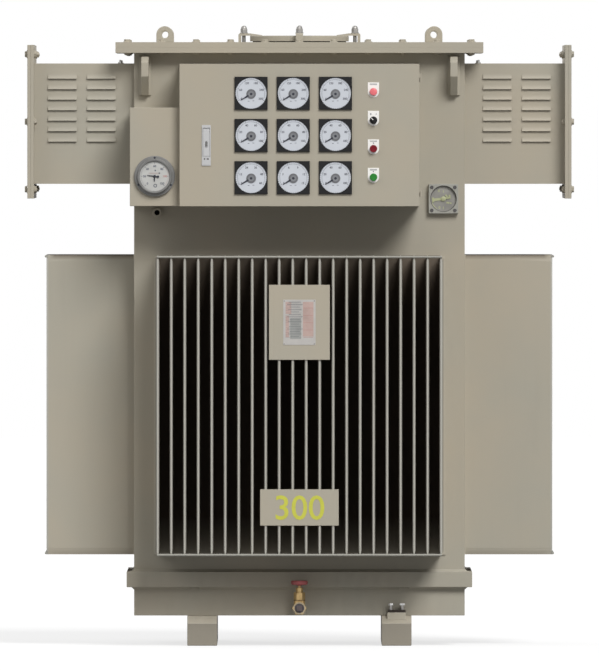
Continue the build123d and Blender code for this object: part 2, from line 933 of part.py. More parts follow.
def drain_valve_body():
    """A gate valve: two hexagon ends, a round chamber on a bulb, the bonnet, the gland and the stem."""
    inlet_y, outlet_y, stem_y = valve_levels()
    body = extrude(facing(0, inlet_y, drain_z) * hexagon(valve_hex_width), valve_hex_length)
    body += disc(0, inlet_y, drain_z, valve_barrel_diameter, inlet_y - outlet_y)
    outlet = facing(0, outlet_y + valve_hex_length, drain_z)
    body += extrude(outlet * hexagon(valve_hex_width), valve_hex_length)
    body -= disc(0, outlet_y + plug_depth, drain_z, plug_diameter, plug_depth + overrun)
    radius = valve_chamber_diameter / 2
    tower = Pos(0, 0, drain_z) * (Sphere(radius) + extrude(Circle(radius), bonnet_rise))
    tower += Pos(0, 0, drain_z + bonnet_rise) * nut(bonnet_width, bonnet_height)
    tower += Pos(0, 0, bonnet_top()) * nut(gland_width, gland_height)
    stem_length = wheel_clearance + wheel_hub_height + stem_rod_end
    tower += Pos(0, 0, gland_top()) * extrude(Circle(stem_rod_diameter / 2), stem_length)
    return body + Pos(0, stem_y, 0) * tower


def drain_plug():
    outlet_y = valve_levels()[1]
    plug = disc(0, outlet_y + plug_depth, drain_z, plug_diameter - 2 * seat_gap, plug_depth)
    head = extrude(facing(0, outlet_y, drain_z) * Rectangle(plug_head, plug_head), plug_head_height)
    return plug + head


def valve_handwheel():
    """A dished wheel: a round rim above its hub, and spokes that slope down to the hub."""
    stem_y = valve_levels()[2]
    rim_radius = (wheel_diameter - wheel_rim) / 2
    rim = Pos(0, 0, wheel_dish + wheel_rim / 2) * Torus(rim_radius, wheel_rim / 2)
    hub_radius = wheel_hub_diameter / 2
    hub = Pos(0, 0, wheel_hub_height / 2) * Cylinder(hub_radius, wheel_hub_height)
    bore = stem_rod_diameter / 2 + running_gap
    spoke_low = wheel_hub_height - wheel_spoke_height
    rim_middle = wheel_dish + wheel_rim / 2
    side = Polygon(
        (bore, spoke_low),
        (hub_radius, spoke_low),
        (rim_radius, rim_middle - wheel_spoke_height / 2),
        (rim_radius, rim_middle + wheel_spoke_height / 2),
        (hub_radius, wheel_hub_height),
        (bore, wheel_hub_height),
        align=None,
    )
    spoke = extrude(Plane.XZ * side, wheel_spoke_width / 2, both=True)
    wheel = rim + hub + around(spoke, wheel_spokes)
    wheel -= Cylinder(bore, 2 * wheel_hub_height + overrun)
    return Pos(0, stem_y, gland_top() + wheel_clearance) * wheel


def earth_pad():
    half = earth_width / 2
    x = skid_gauge / 2
    return block(
        (x - half, front_y - earth_depth, skid_height),
        (x + half, front_y, skid_height + earth_height),
    )


# Plates on the fin tips


def nameplate_bracket():
    """A shallow folded tray on the fin tips."""
    half = bracket_width / 2
    face_y = fin_tip_y - bracket_depth
    top = fin_top - bracket_drop
    bottom = top - bracket_height
    tray = block((-half, face_y, bottom), (half, fin_tip_y, top))
    inner = half - bracket_sheet
    return tray - block(
        (-inner, face_y + bracket_sheet, bottom + bracket_sheet),
        (inner, fin_tip_y + overrun, top - bracket_sheet),
    )


def nameplate():
    face_y = fin_tip_y - bracket_depth
    middle = fin_top - bracket_drop - bracket_height / 2
    half = nameplate_width / 2
    low = (-half, face_y - nameplate_thickness, middle - nameplate_height / 2)
    return block(low, (half, face_y, middle + nameplate_height / 2))


def number_plate():
    half = number_width / 2
    bottom = fin_bottom + number_rise
    return block((-half, fin_tip_y - number_sheet, bottom), (half, fin_tip_y, bottom + number_height))


lamp_place, selector_place, raise_place, lower_place = switch_places()
eye_x = side_x - eye_inset_x
eye_y = tank_depth / 2 - eye_inset_y
lug_x = side_x - lug_inset
front_lugs = [lifting_lug(lug_x), lifting_lug(-lug_x)]
left_plate, right_plate = blank_plates()

nodes = {
    "skid_left": skid(-skid_gauge / 2),
    "skid_right": skid(skid_gauge / 2),
    "tank_body": tank_body(),
    "base_band": base_band(),
    "rim_flange": collar(rim_bottom, rim_thickness, rim_overhang),
    "cover_plate": cover_plate(),
    "lifting_eyes": separate(lifting_eye(x, y) for x in (-eye_x, eye_x) for y in (-eye_y, eye_y)),
    "lifting_lugs": separate(front_lugs + [mirrored_in_y(lug) for lug in front_lugs]),
    "handhole_neck": handhole_neck(),
    "handhole_lid": handhole_lid(),
    "lid_clamps": separate(around(lid_clamp(), clamp_count)),
    "clamp_studs": separate(around(clamp_stud(), clamp_count)),
    "left_terminal_box": mirrored_in_x(terminal_box()),
    "right_terminal_box": terminal_box(),
    "left_terminal_flange": mirrored_in_x(terminal_flange()),
    "right_terminal_flange": terminal_flange(),
    "left_blank_plate": left_plate,
    "right_blank_plate": right_plate,
    "control_box": control_box(),
    "box_hinge_leaves": separate(box_hinge_leaf(z) for z in hinge_bottoms()),
    "control_door": control_door(),
    "door_hinge_leaves": separate(door_hinge_leaf(z) for z in hinge_bottoms()),
    "meter_cases": separate(meter_case(x, z) for x, z in meter_places()),
    "meter_dials": separate(meter_dial(x, z) for x, z in meter_places()),
    "legend_plates": separate(legend_plate(x, z) for x, z in switch_places()),
    "switch_bodies": separate(piece for x, z in switch_places() for piece in switch_body(x, z)),
    "pilot_lamp": pilot_lamp(*lamp_place),
    "selector_knob": selector_knob(*selector_place),
    "raise_button": push_button(*raise_place),
    "lower_button": push_button(*lower_place),
    "handle_plate": handle_plate(),
    "handle_lever": handle_lever(),
    "thermometer_box": thermometer_box(),
    "thermometer_case": thermometer_case(),
    "thermometer_dial": thermometer_dial(),
    "oil_gauge_case": oil_gauge_case(),
    "oil_gauge_dial": oil_gauge_dial(),
    "test_socket": test_socket(),
    "drain_pipe": disc(0, front_y, drain_z, drain_pipe_diameter, drain_pipe_length),
    "drain_valve_body": drain_valve_body(),
    "drain_plug": drain_plug(),
    "valve_handwheel": valve_handwheel(),
    "earth_pad": earth_pad(),
    "nameplate_bracket": nameplate_bracket(),
    "nameplate": nameplate(),
    "number_plate": number_plate(),
}
nodes.update(placed_banks())

os.makedirs("parts", exist_ok=True)
for name, shape in nodes.items():
    export_step(shape, f"parts/{name}.step")
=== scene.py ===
import json
import math
from functools import partial

import bmesh
import bpy
from mathutils import Matrix, Vector

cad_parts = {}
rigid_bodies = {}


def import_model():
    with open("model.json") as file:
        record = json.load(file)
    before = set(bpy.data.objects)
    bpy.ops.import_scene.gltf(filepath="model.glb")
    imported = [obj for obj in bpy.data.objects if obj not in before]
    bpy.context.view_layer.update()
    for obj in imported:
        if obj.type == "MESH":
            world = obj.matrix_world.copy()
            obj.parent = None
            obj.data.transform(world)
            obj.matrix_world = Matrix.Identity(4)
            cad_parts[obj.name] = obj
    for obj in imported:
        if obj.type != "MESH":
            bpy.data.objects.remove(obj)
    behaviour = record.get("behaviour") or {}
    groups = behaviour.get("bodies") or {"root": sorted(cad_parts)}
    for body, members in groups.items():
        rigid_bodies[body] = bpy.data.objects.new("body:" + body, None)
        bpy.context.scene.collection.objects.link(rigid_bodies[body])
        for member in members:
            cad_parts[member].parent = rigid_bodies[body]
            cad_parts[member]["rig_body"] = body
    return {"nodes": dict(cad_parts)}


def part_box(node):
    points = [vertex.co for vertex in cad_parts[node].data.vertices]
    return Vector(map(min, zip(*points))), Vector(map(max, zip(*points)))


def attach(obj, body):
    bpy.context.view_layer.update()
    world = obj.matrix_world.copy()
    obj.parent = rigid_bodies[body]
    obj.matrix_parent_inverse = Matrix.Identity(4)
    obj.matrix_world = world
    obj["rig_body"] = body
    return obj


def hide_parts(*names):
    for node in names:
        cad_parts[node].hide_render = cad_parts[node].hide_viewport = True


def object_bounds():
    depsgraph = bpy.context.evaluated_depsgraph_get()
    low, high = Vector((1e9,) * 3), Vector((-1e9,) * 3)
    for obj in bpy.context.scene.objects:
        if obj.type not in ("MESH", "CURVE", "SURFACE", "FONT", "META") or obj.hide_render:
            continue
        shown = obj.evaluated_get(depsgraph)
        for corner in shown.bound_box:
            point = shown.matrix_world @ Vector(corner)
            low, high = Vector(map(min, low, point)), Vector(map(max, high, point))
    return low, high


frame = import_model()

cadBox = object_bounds()
weldDistance = 1e-5  # vertices closer than this are one
sharpFrom = math.radians(35)  # folds that stay sharp
roundedFrom = math.radians(30)  # folds of a CAD solid that get a rounded edge
flatWithin = math.radians(0.5)  # triangles this close to one plane become one face
digitShare = 0.69  # how much of the font's size a digit stands high
hexagon = 6
roundness = {  # sides of what is turned
    "pin": 16,
    "shank": 20,
    "screw": 24,
    "knob": 32,
    "ring": 48,
    "hub": 64,
    "dial": 96,
}
print("frame loaded:", len(frame["nodes"]), "nodes")


# places

def turning(angle):  # degrees about local Z
    return Matrix.Rotation(math.radians(angle), 4, "Z")


def facing(x, y, z, turn=0):  # local X right, local Y up, local Z out of the front
    upright = Matrix.Translation((x, y, z)) @ Matrix.Rotation(math.radians(90), 4, "X")
    return upright @ turning(turn)


def onTop(x, y, z, turn=0):  # local Z straight up
    return Matrix.Translation((x, y, z)) @ turning(turn)


def pointing(x, y, z, direction):  # local Z along a direction
    turn = Vector((0, 0, 1)).rotation_difference(Vector(direction))
    return Matrix.Translation((x, y, z)) @ turn.to_matrix().to_4x4()


def shifted(place, u, v, out=0):  # a place moved right, up and out in its own directions
    return place @ Matrix.Translation((u, v, out))


def middle(node):
    low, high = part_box(node)
    return (low + high) / 2


def around(angle, radius):  # a point on a dial, the angle clockwise from the top
    turn = math.radians(angle)
    return math.sin(turn) * radius, math.cos(turn) * radius


def evenly(first, last, count):
    return [first + (last - first) * i / (count - 1) for i in range(count)]


def roundEdge(us, vs):  # the places along the four sides of a plate
    ends = [(u, v) for u in us for v in (vs[0], vs[-1])]
    return ends + [(u, v) for u in (us[0], us[-1]) for v in vs[1:-1]]


# shapes that pieces are stamped from

def toMesh(bm):
    mesh = bpy.data.meshes.new("shape")
    bm.to_mesh(mesh)
    bm.free()
    return mesh


def roundOff(bm, edges, width, clamp=False):
    bmesh.ops.bevel(
        bm, geom=edges, offset=width, segments=2, profile=0.5, affect="EDGES",
        clamp_overlap=clamp, material=-1,
    )


def turned(profile, steps=roundness["ring"]):  # radius and height of each point, spun about Z
    bm = bmesh.new()
    verts = [bm.verts.new((radius, 0, height)) for radius, height in profile]
    edges = [bm.edges.new(pair) for pair in zip(verts, verts[1:])]
    bmesh.ops.spin(
        bm, geom=verts + edges, cent=(0, 0, 0), axis=(0, 0, 1), angle=math.tau, steps=steps, use_merge=True
    )
    bmesh.ops.remove_doubles(bm, verts=bm.verts, dist=weldDistance)
    bmesh.ops.recalc_face_normals(bm, faces=bm.faces)
    return toMesh(bm)


def disc(radius, low, high, steps):  # closed above and below
    return turned([(0, low), (radius, low), (radius, high), (0, high)], steps)


def stub(radius, height, steps=roundness["screw"]):  # open at its foot, which stands on something
    return turned([(radius, 0), (radius, height), (0, height)], steps)


def hoop(inner, outer, height, steps=roundness["hub"]):  # a flat ring standing on Z = 0
    return turned([(inner, 0), (outer, 0), (outer, height), (inner, height), (inner, 0)], steps)


def lofted(rings, segments=roundness["hub"]):  # each ring: half width, height, how square it is
    bm = bmesh.new()
    verts = bmesh.ops.create_circle(bm, segments=segments, radius=rings[0][0])["verts"]
    for i, (reach, height, squareness) in enumerate(rings):
        if i:
            edges = [e for e in bm.edges if e.verts[0] in verts and e.verts[1] in verts]
            made = bmesh.ops.extrude_edge_only(bm, edges=edges)["geom"]
            verts = [part for part in made if isinstance(part, bmesh.types.BMVert)]
        for vert in verts:
            flat = vert.co.xy.normalized()
            flat *= reach * (1 + squareness * (1 / max(abs(flat.x), abs(flat.y)) - 1))
            vert.co = flat.x, flat.y, height
    bmesh.ops.recalc_face_normals(bm, faces=bm.faces)
    return toMesh(bm)


def bar(width, height, depth, edge=0):  # a block centred in its width and height, standing on Z = 0
    bm = bmesh.new()
    place = Matrix.Translation((0, 0, depth / 2)) @ Matrix.Diagonal((width, height, depth, 1))
    bmesh.ops.create_cube(bm, size=1, matrix=place)
    if edge:
        roundOff(bm, bm.edges[:], edge)
    return toMesh(bm)


def prism(sides, acrossFlats, height, edge=0):  # a nut or a bolt's head, its top edges rounded off
    bm = bmesh.new()
    radius = acrossFlats / 2 / math.cos(math.pi / sides)
    place = Matrix.Translation((0, 0, height / 2)) @ Matrix.Rotation(math.pi / sides, 4, "Z")
    bmesh.ops.create_cone(
        bm, cap_ends=True, segments=sides, radius1=radius, radius2=radius, depth=height, matrix=place
    )
    if edge:
        roundOff(bm, [e for e in bm.edges if min(v.co.z for v in e.verts) > height - weldDistance], edge)
    return toMesh(bm)


def blade(length, wide, narrow, depth):  # a pointer that tapers along local Y, from its root
    bm = bmesh.new()
    place = Matrix.Translation((0, length / 2, depth / 2)) @ Matrix.Diagonal((wide, length, depth, 1))
    bmesh.ops.create_cube(bm, size=1, matrix=place)
    far = [v for v in bm.verts if v.co.y > length / 2]
    bmesh.ops.scale(bm, vec=(narrow / wide, 1, 1), verts=far)
    return toMesh(bm)


def digits(words, height, depth, bolder=0.0):  # plain numbers
    curve = bpy.data.curves.new("digits", "FONT")
    curve.body = words
    curve.offset = bolder
    curve.size = height / digitShare
    curve.extrude = depth / 2
    curve.align_x = "CENTER"
    curve.resolution_u = 4
    holder = bpy.data.objects.new("digits", curve)
    mesh = bpy.data.meshes.new_from_object(holder)
    mesh.transform(Matrix.Translation((0, -height / 2, depth / 2)))
    bpy.data.objects.remove(holder)
    bpy.data.curves.remove(curve)
    return mesh


def stamp(bm, shape, *places):
    for place in places:
        copy = shape.copy()
        copy.transform(place)
        bm.from_mesh(copy)
        bpy.data.meshes.remove(copy)


# finished pieces

def keep(name, bm, finish, body, nodes=()):
    for face in bm.faces:
        face.smooth = True
    mesh = bpy.data.meshes.new(name)
    bm.to_mesh(mesh)
    bm.free()
    mesh.set_sharp_from_angle(angle=sharpFrom)
    mesh.materials.append(finish)
    piece = bpy.data.objects.new(name, mesh)
    bpy.context.scene.collection.objects.link(piece)
    flatter = piece.modifiers.new("flatFaces", "WEIGHTED_NORMAL")
    flatter.keep_sharp = True
    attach(piece, body)
    if nodes:
        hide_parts(*nodes)


def single(name, shape, place, finish, body, nodes=()):  # a piece of one shape
    bm = bmesh.new()
    stamp(bm, shape, place)
    keep(name, bm, finish, body, nodes)


def softened(name, node, finish, edge, shape=None):  # a CAD node with rounded edges
    source = frame["nodes"][node]
    bm = bmesh.new()
    bm.from_mesh(source.data)
    bmesh.ops.remove_doubles(bm, verts=bm.verts, dist=weldDistance)
    if shape:
        shape(bm)
    bmesh.ops.dissolve_limit(bm, angle_limit=flatWithin, verts=bm.verts, edges=bm.edges)
    if edge:
        corners = [e for e in bm.edges if len(e.link_faces) == 2 and e.calc_face_angle(0) > roundedFrom]
        roundOff(bm, corners, edge, clamp=True)
    keep(name, bm, finish, source["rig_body"], [node])


# finishes

class Wire:  # one socket of a material, with the sums that the finishes need
    def __init__(self, tree, socket=None):
        self.tree = tree
        self.socket = socket

    def node(self, kind, settings=None, sockets=None, out=0):
        made = self.tree.nodes.new(kind)
        for key, value in (settings or {}).items():
            setattr(made, key, value)
        for key, value in (sockets or {}).items():
            self.feed(made.inputs[key], value)
        return Wire(self.tree, made.outputs[out])

    def feed(self, socket, value):
        if isinstance(value, Wire):
            self.tree.links.new(value.socket, socket)
        else:
            socket.default_value = value

    def sum(self, operation, first, second):
        return self.node("ShaderNodeMath", {"operation": operation}, {0: first, 1: second})

    def __add__(self, other):
        return self.sum("ADD", self, other)

    def __radd__(self, other):
        return self.sum("ADD", other, self)

    def __sub__(self, other):
        return self.sum("SUBTRACT", self, other)

    def __rsub__(self, other):
        return self.sum("SUBTRACT", other, self)

    def __mul__(self, other):
        return self.sum("MULTIPLY", self, other)

    def __rmul__(self, other):
        return self.sum("MULTIPLY", other, self)

    def __abs__(self):
        return self.sum("ABSOLUTE", self, 0.0)


class Finish:  # a material, with its shader and the Object coordinates that its patterns follow
    def __init__(self, name, metallic=0.0, gloss=0.5):
        self.material = bpy.data.materials.new(name)
        self.material.use_nodes = True
        tree = self.material.node_tree
        self.shader = next(n for n in tree.nodes if n.type == "BSDF_PRINCIPLED")
        self.shader.inputs["Metallic"].default_value = metallic
        self.shader.inputs["Specular IOR Level"].default_value = gloss
        self.coords = Wire(tree).node("ShaderNodeTexCoord", out=3)

    def feed(self, **sockets):
        for name, value in sockets.items():
            self.coords.feed(self.shader.inputs[name.replace("_", " ")], value)

    def stretched(self, scale):  # the coordinates, scaled on each axis
        return self.coords.node("ShaderNodeMapping", {}, {"Vector": self.coords, "Scale": scale})

    def noise(self, scale, detail=2.0, roughness=0.5, along=None):
        return self.coords.node(
            "ShaderNodeTexNoise", {},
            {"Vector": along or self.coords, "Scale": scale, "Detail": detail, "Roughness": roughness},
        )

    def between(self, value, low, high, start=0.0, end=1.0):  # a value stretched from one range to another
        sockets = {"Value": value, "From Min": low, "From Max": high, "To Min": start, "To Max": end}
        return self.coords.node("ShaderNodeMapRange", {"clamp": True}, sockets)

    def mix(self, share, first, second):
        sockets = {0: share, 6: first, 7: second}
        return self.coords.node("ShaderNodeMix", {"data_type": "RGBA"}, sockets, out=2)

    def along(self, axis, vector=None):  # one part of a vector: 0, 1 or 2 for X, Y or Z
        return self.coords.node("ShaderNodeSeparateXYZ", {}, {"Vector": vector or self.coords}, out=axis)

    def upward(self):  # how far a face looks up
        return self.along(2, self.coords.node("ShaderNodeNewGeometry", out=1))

    def bump(self, height, strength, depth):
        sockets = {"Height": height, "Strength": strength, "Distance": depth}
        return self.coords.node("ShaderNodeBump", {}, sockets)


def shade(red, green, blue):
    return (red, green, blue, 1.0)


paint = {
    "warm": shade(0.415, 0.370, 0.290),
    "cool": shade(0.385, 0.360, 0.295),
    "grime": shade(0.230, 0.205, 0.160),
    "dust": shade(0.470, 0.445, 0.390),
    # painted shade for the gaps between fins
    "gap": shade(0.112, 0.085, 0.062),
    # painted highlight on the fin tips, lighter and greyer than the paint
    "tip": shade(0.440, 0.425, 0.375),
    "rod": shade(0.312, 0.303, 0.265),
    "gloss": 0.35,
    "cloud": (2.2, 4.0, 0.55),  # scale, detail and roughness of each noise
    "streak": (1.0, 3.0, 0.6),
    "streakScale": (26.0, 26.0, 1.6),
    "grain": (420.0, 2.0),
    "cloudRange": (0.35, 0.65),
    "grimeStreak": (0.52, 0.80),
    "grimeCloud": (0.40, 0.70),
    "grimeShare": 0.10,
    "dustSlope": (0.55, 0.98),
    "dustStreak": (0.25, 0.75, 0.45, 1.0),
    "dustShare": 0.28,
    "dustRough": 0.2,
    "rough": (0.45, 0.85, 0.44, 0.60),
    "grainRough": 0.3,
    # where the painted light of a sloping face near the ground takes over from the painted shade of an
    # upright one
    "skirtSlope": (0.15, 0.50),
    # how much of the painted gap shade stays at a bank's foot and head, where more light reaches
    "footShade": (0.28, 1.0),
    "headShade": (1.0, 0.87),
    "topEdge": (0.30, 0.80),
    "gapRough": 0.4,
    "bump": (0.06, 0.0008),
}


def enamel(name, colours, paintedFinShading=None, paintedSkirtLightAndShade=None):  # sprayed paint: clouds, streaks, dust on what looks up; where asked, painted light and shade near the ground and painted shade between fins
    finish = Finish(name, gloss=colours["gloss"])
    cloud = finish.noise(*colours["cloud"])
    streak = finish.noise(*colours["streak"], finish.stretched(colours["streakScale"]))
    grain = finish.noise(*colours["grain"])
    colour = finish.mix(finish.between(cloud, *colours["cloudRange"]), colours["warm"], colours["cool"])
    grime = finish.between(streak, *colours["grimeStreak"]) * finish.between(cloud, *colours["grimeCloud"])
    colour = finish.mix(grime * colours["grimeShare"], colour, colours["grime"])
    dust = finish.between(finish.upward(), *colours["dustSlope"])
    dust = dust * finish.between(streak, *colours["dustStreak"])
    colour = finish.mix(dust * colours["dustShare"], colour, colours["dust"])
    rough = finish.between(cloud + grain * colours["grainRough"], *colours["rough"])
    rough = rough + dust * colours["dustRough"]
    if paintedSkirtLightAndShade:  # near the ground: painted shade on upright faces and painted light on sloping faces
        colour = finish.mix(finish.between(finish.upward(), *colours["skirtSlope"]), *paintedSkirtLightAndShade)
    if paintedFinShading:  # painted shade between fins, away from their tips and inside the end ones, and a painted highlight on the tips
        deep = abs(finish.along(paintedFinShading["depthAxis"]))
        run = abs(finish.along(paintedFinShading["runAxis"]))
        height = finish.along(2)
        atTip = finish.between(deep, *paintedFinShading["tip"])
        colour = finish.mix(atTip, colour, colours["rod"])
        offRods = finish.between(height, *paintedFinShading["lowRod"]) * (1 - finish.between(height, *paintedFinShading["topRod"]))
        # a painted highlight on the fin tips between the rods
        colour = finish.mix(atTip * offRods, colour, colours["tip"])
        # painted shade deep in the gaps between fins: less of it at the foot and the head, none on faces that
        # look up
        inside = (1 - finish.between(deep, *paintedFinShading["depth"])) * (1 - finish.between(run, *paintedFinShading["run"]))
        inside = inside * finish.between(height, *paintedFinShading["foot"], *colours["footShade"])
        inside = inside * finish.between(height, *paintedFinShading["head"], *colours["headShade"])
        inside = inside * (1 - finish.between(finish.upward(), *colours["topEdge"]))
        colour = finish.mix(inside, colour, colours["gap"])
        rough = rough + inside * colours["gapRough"]
    finish.feed(Base_Color=colour, Roughness=rough)
    finish.feed(Normal=finish.bump(grain, *colours["bump"]))
    return finish.material


bareMetal = {
    "patch": (0.25, 3.0, 0.6),  # share of the grain's scale, detail and roughness
    "grain": (4.0, 2.0),
    "dullRange": (0.42, 0.72),
    "grainRough": 0.4,
    "roughRange": (0.5, 0.9),
    "roughShares": (0.8, 1.35),
    "bump": (0.08, 0.0003),
}


def metal(name, colour, dull, rough, grainScale=160.0, tarnish=0.35):  # bare or plated, with dull patches
    finish = Finish(name, metallic=1.0)
    share, *texture = bareMetal["patch"]
    patch = finish.noise(grainScale * share, *texture)
    share, *texture = bareMetal["grain"]
    grain = finish.noise(grainScale * share, *texture)
    dullness = finish.between(patch, *bareMetal["dullRange"]) * tarnish
    finish.feed(Base_Color=finish.mix(dullness, colour, dull))
    limits = [rough * share for share in bareMetal["roughShares"]]
    mottle = patch + grain * bareMetal["grainRough"]
    finish.feed(Roughness=finish.between(mottle, *bareMetal["roughRange"], *limits))
    finish.feed(Normal=finish.bump(grain, *bareMetal["bump"]))
    return finish.material


plastic = {
    "grainScale": 900.0,
    "cloud": (27.0, 3.0),
    "darkRange": (0.35, 0.7),
    "roughRange": (0.3, 0.7),
    "roughShares": (0.85, 1.15),
    "bump": (0.05, 0.0002),
}


def moulded(name, colour, rough, spread=0.10, gloss=0.5):  # plastic or printed card
    finish = Finish(name, gloss=gloss)
    cloud = finish.noise(*plastic["cloud"])
    grain = finish.noise(plastic["grainScale"])
    darker = shade(*[c * (1 - 2 * spread) for c in colour[:3]])
    finish.feed(Base_Color=finish.mix(finish.between(cloud, *plastic["darkRange"]), colour, darker))
    limits = [rough * share for share in plastic["roughShares"]]
    finish.feed(Roughness=finish.between(grain, *plastic["roughRange"], *limits))
    finish.feed(Normal=finish.bump(grain, *plastic["bump"]))
    return finish.material


finShade = {  # distances from the tips, the ends, the rods' edges, the foot and the head of a bank, bounding the painted gap shade and the tips' painted highlight
    "depth": (0.034, 0.012),
    "run": (0.0150, 0.0120),
    "tip": (0.014, 0.009),
    "rod": (0.009, 0.011),
    "foot": 0.130,
    "head": 0.110,
}


def finGaps(node, depthAxis):  # where the painted shade between a bank's fins begins and ends, and where the tips and rods lie
    low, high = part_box(node)
    tip = max(abs(low[depthAxis]), abs(high[depthAxis]))
    end = high[1 - depthAxis]
    near, far = finShade["rod"]
    return {
        "depthAxis": depthAxis,
        "runAxis": 1 - depthAxis,
        "depth": [tip - inset for inset in finShade["depth"]],
        "run": [end - inset for inset in finShade["run"]],
        "tip": [tip - inset for inset in finShade["tip"]],
        "lowRod": (low.z + near, low.z + far),
        "topRod": (high.z - far, high.z - near),
        "foot": (low.z, low.z + finShade["foot"]),
        "head": (high.z - finShade["head"], high.z),
    }


tankPaint = enamel("tankPaint", paint)
# skids: painted shade on their upright fronts, painted light on their sloping ends; earth pad: painted light
# so it reads as lit as the slope below it
skidPaint = enamel("skidPaint", paint, paintedSkirtLightAndShade=(shade(0.290, 0.262, 0.212), shade(0.480, 0.435, 0.350)))
padPaint = enamel("padPaint", paint, paintedSkirtLightAndShade=[shade(0.490, 0.450, 0.362)] * 2)
brightPlate = metal("brightPlate", shade(0.56, 0.56, 0.55), shade(0.36, 0.36, 0.35), 0.32, tarnish=0.4)
paleBrass = metal("paleBrass", shade(0.32, 0.292, 0.230), shade(0.20, 0.174, 0.13), 0.50, 120.0, 0.5)
# fin paint with painted shade in the gaps and a painted highlight on the tips
frontFinPaintAndPaintedShade = enamel("frontFinPaintAndPaintedShade", paint, finGaps("front_fins", 1))
sideFinPaintAndPaintedShade = enamel("sideFinPaintAndPaintedShade", paint, finGaps("right_fins", 0))
zinc = metal("zincPlate", shade(0.31, 0.30, 0.285), shade(0.17, 0.165, 0.155), 0.45, tarnish=0.5)
brass = metal("valveBrass", shade(0.46, 0.325, 0.152), shade(0.22, 0.150, 0.072), 0.50, 120.0, 0.6)
seamBrown = metal("seamBrown", shade(0.17, 0.115, 0.060), shade(0.10, 0.070, 0.040), 0.55, 120.0)
darkIron = metal("darkIron", shade(0.085, 0.078, 0.085), shade(0.045, 0.040, 0.045), 0.50)
wheelRed = moulded("wheelRed", shade(0.42, 0.100, 0.100), 0.40, gloss=0.4)
barBrown = moulded("barBrown", shade(0.042, 0.033, 0.028), 0.50, gloss=0.18)
blackPlastic = moulded("blackPlastic", shade(0.013, 0.013, 0.014), 0.50, gloss=0.18)
dialWhite = moulded("dialWhite", shade(0.60, 0.625, 0.67), 0.55, spread=0.02, gloss=0.3)
dialInk = moulded("dialInk", shade(0.085, 0.090, 0.110), 0.6, gloss=0.2)
fineInk = moulded("fineInk", shade(0.13, 0.14, 0.17), 0.6, gloss=0.2)
hubDark = moulded("hubDark", shade(0.165, 0.168, 0.178), 0.45, gloss=0.3)
hubPale = moulded("hubPale", shade(0.235, 0.240, 0.255), 0.45, gloss=0.3)
needleBlack = moulded("needleBlack", shade(0.045, 0.048, 0.062), 0.5, gloss=0.2)
legendWhite = moulded("legendWhite", shade(0.93, 0.91, 0.87), 0.45, spread=0.01, gloss=0.3)
lampPink = moulded("lampPink", shade(0.85, 0.185, 0.205), 0.30, spread=0.04, gloss=0.4)
buttonRed = moulded("buttonRed", shade(0.20, 0.012, 0.020), 0.45, gloss=0.15)
buttonGreen = moulded("buttonGreen", shade(0.030, 0.225, 0.035), 0.45, gloss=0.15)
handleGrey = moulded("handleGrey", shade(0.545, 0.545, 0.545), 0.40, spread=0.02, gloss=0.4)
gaugeGrey = moulded("gaugeGrey", shade(0.185, 0.183, 0.176), 0.42, spread=0.08)
oilPlateGrey = moulded("oilPlateGrey", shade(0.355, 0.350, 0.310), 0.48, spread=0.05)
oilFace = moulded("oilFace", shade(0.325, 0.315, 0.288), 0.55, spread=0.12, gloss=0.3)
oilYellow = moulded("oilYellow", shade(0.46, 0.48, 0.28), 0.5, spread=0.06, gloss=0.3)
digitYellow = moulded("digitYellow", shade(0.57, 0.57, 0.080), 0.45, spread=0.05, gloss=0.3)
plateMetal = moulded("plateMetal", shade(0.49, 0.47, 0.445), 0.40, spread=0.05)
plateInk = moulded("plateInk", shade(0.22, 0.225, 0.23), 0.6, gloss=0.2)
plateTint = moulded("plateTint", shade(0.47, 0.27, 0.25), 0.6, gloss=0.2)
platePink = moulded("platePink", shade(0.50, 0.36, 0.32), 0.45)
plateGrey = moulded("plateGrey", shade(0.33, 0.335, 0.315), 0.45)
dialPaper = moulded("dialPaper", shade(0.53, 0.528, 0.505), 0.55, spread=0.06, gloss=0.3)
screwGrey = moulded("screwGrey", shade(0.105, 0.100, 0.100), 0.45, spread=0.08, gloss=0.4)
plugGrey = moulded("plugGrey", shade(0.110, 0.084, 0.082), 0.45, spread=0.12, gloss=0.4)
# black for the door seal, and as painted shade on the hand-hole neck and in the socket's bore
blackSealAndPaintedShade = moulded("rubberSealAndPaintedShade", shade(0.012, 0.012, 0.012), 0.75, gloss=0.2)
print("finishes made")


# painted sheet metal: the CAD solids with their edges rounded

paintedEdges = {
    "skid_left": 0.0025,
    "skid_right": 0.0025,
    "tank_body": 0.0015,
    "base_band": 0.0020,
    "rim_flange": 0.0003,
    "cover_plate": 0.0003,
    "lifting_eyes": 0.0020,
    "lifting_lugs": 0.0020,
    "handhole_lid": 0.0008,
    "lid_clamps": 0.0015,
    "left_terminal_box": 0.0004,
    "right_terminal_box": 0.0004,
    "left_terminal_flange": 0.0010,
    "right_terminal_flange": 0.0010,
    "left_blank_plate": 0.0012,
    "right_blank_plate": 0.0012,
    "control_box": 0.0012,
    "control_door": 0.0010,
    "box_hinge_leaves": 0.0005,
    "door_hinge_leaves": 0.0005,
    "thermometer_box": 0.0020,
    "test_socket": 0.0005,
    "drain_pipe": 0.0005,
    "earth_pad": 0.0010,
    "nameplate_bracket": 0.0006,
    "number_plate": 0.0008,
    "front_fins": 0.0,
    "back_fins": 0.0,
    "left_fins": 0.0,
    "right_fins": 0.0,
}

ownPaints = {
    "skid_left": skidPaint,
    "skid_right": skidPaint,
    "earth_pad": padPaint,
    "front_fins": frontFinPaintAndPaintedShade,
    "back_fins": frontFinPaintAndPaintedShade,
    "left_fins": sideFinPaintAndPaintedShade,
    "right_fins": sideFinPaintAndPaintedShade,
}

rodEnds = {"tipDepth": 0.012, "beyondFin": 0.0005, "inset": 0.0020}


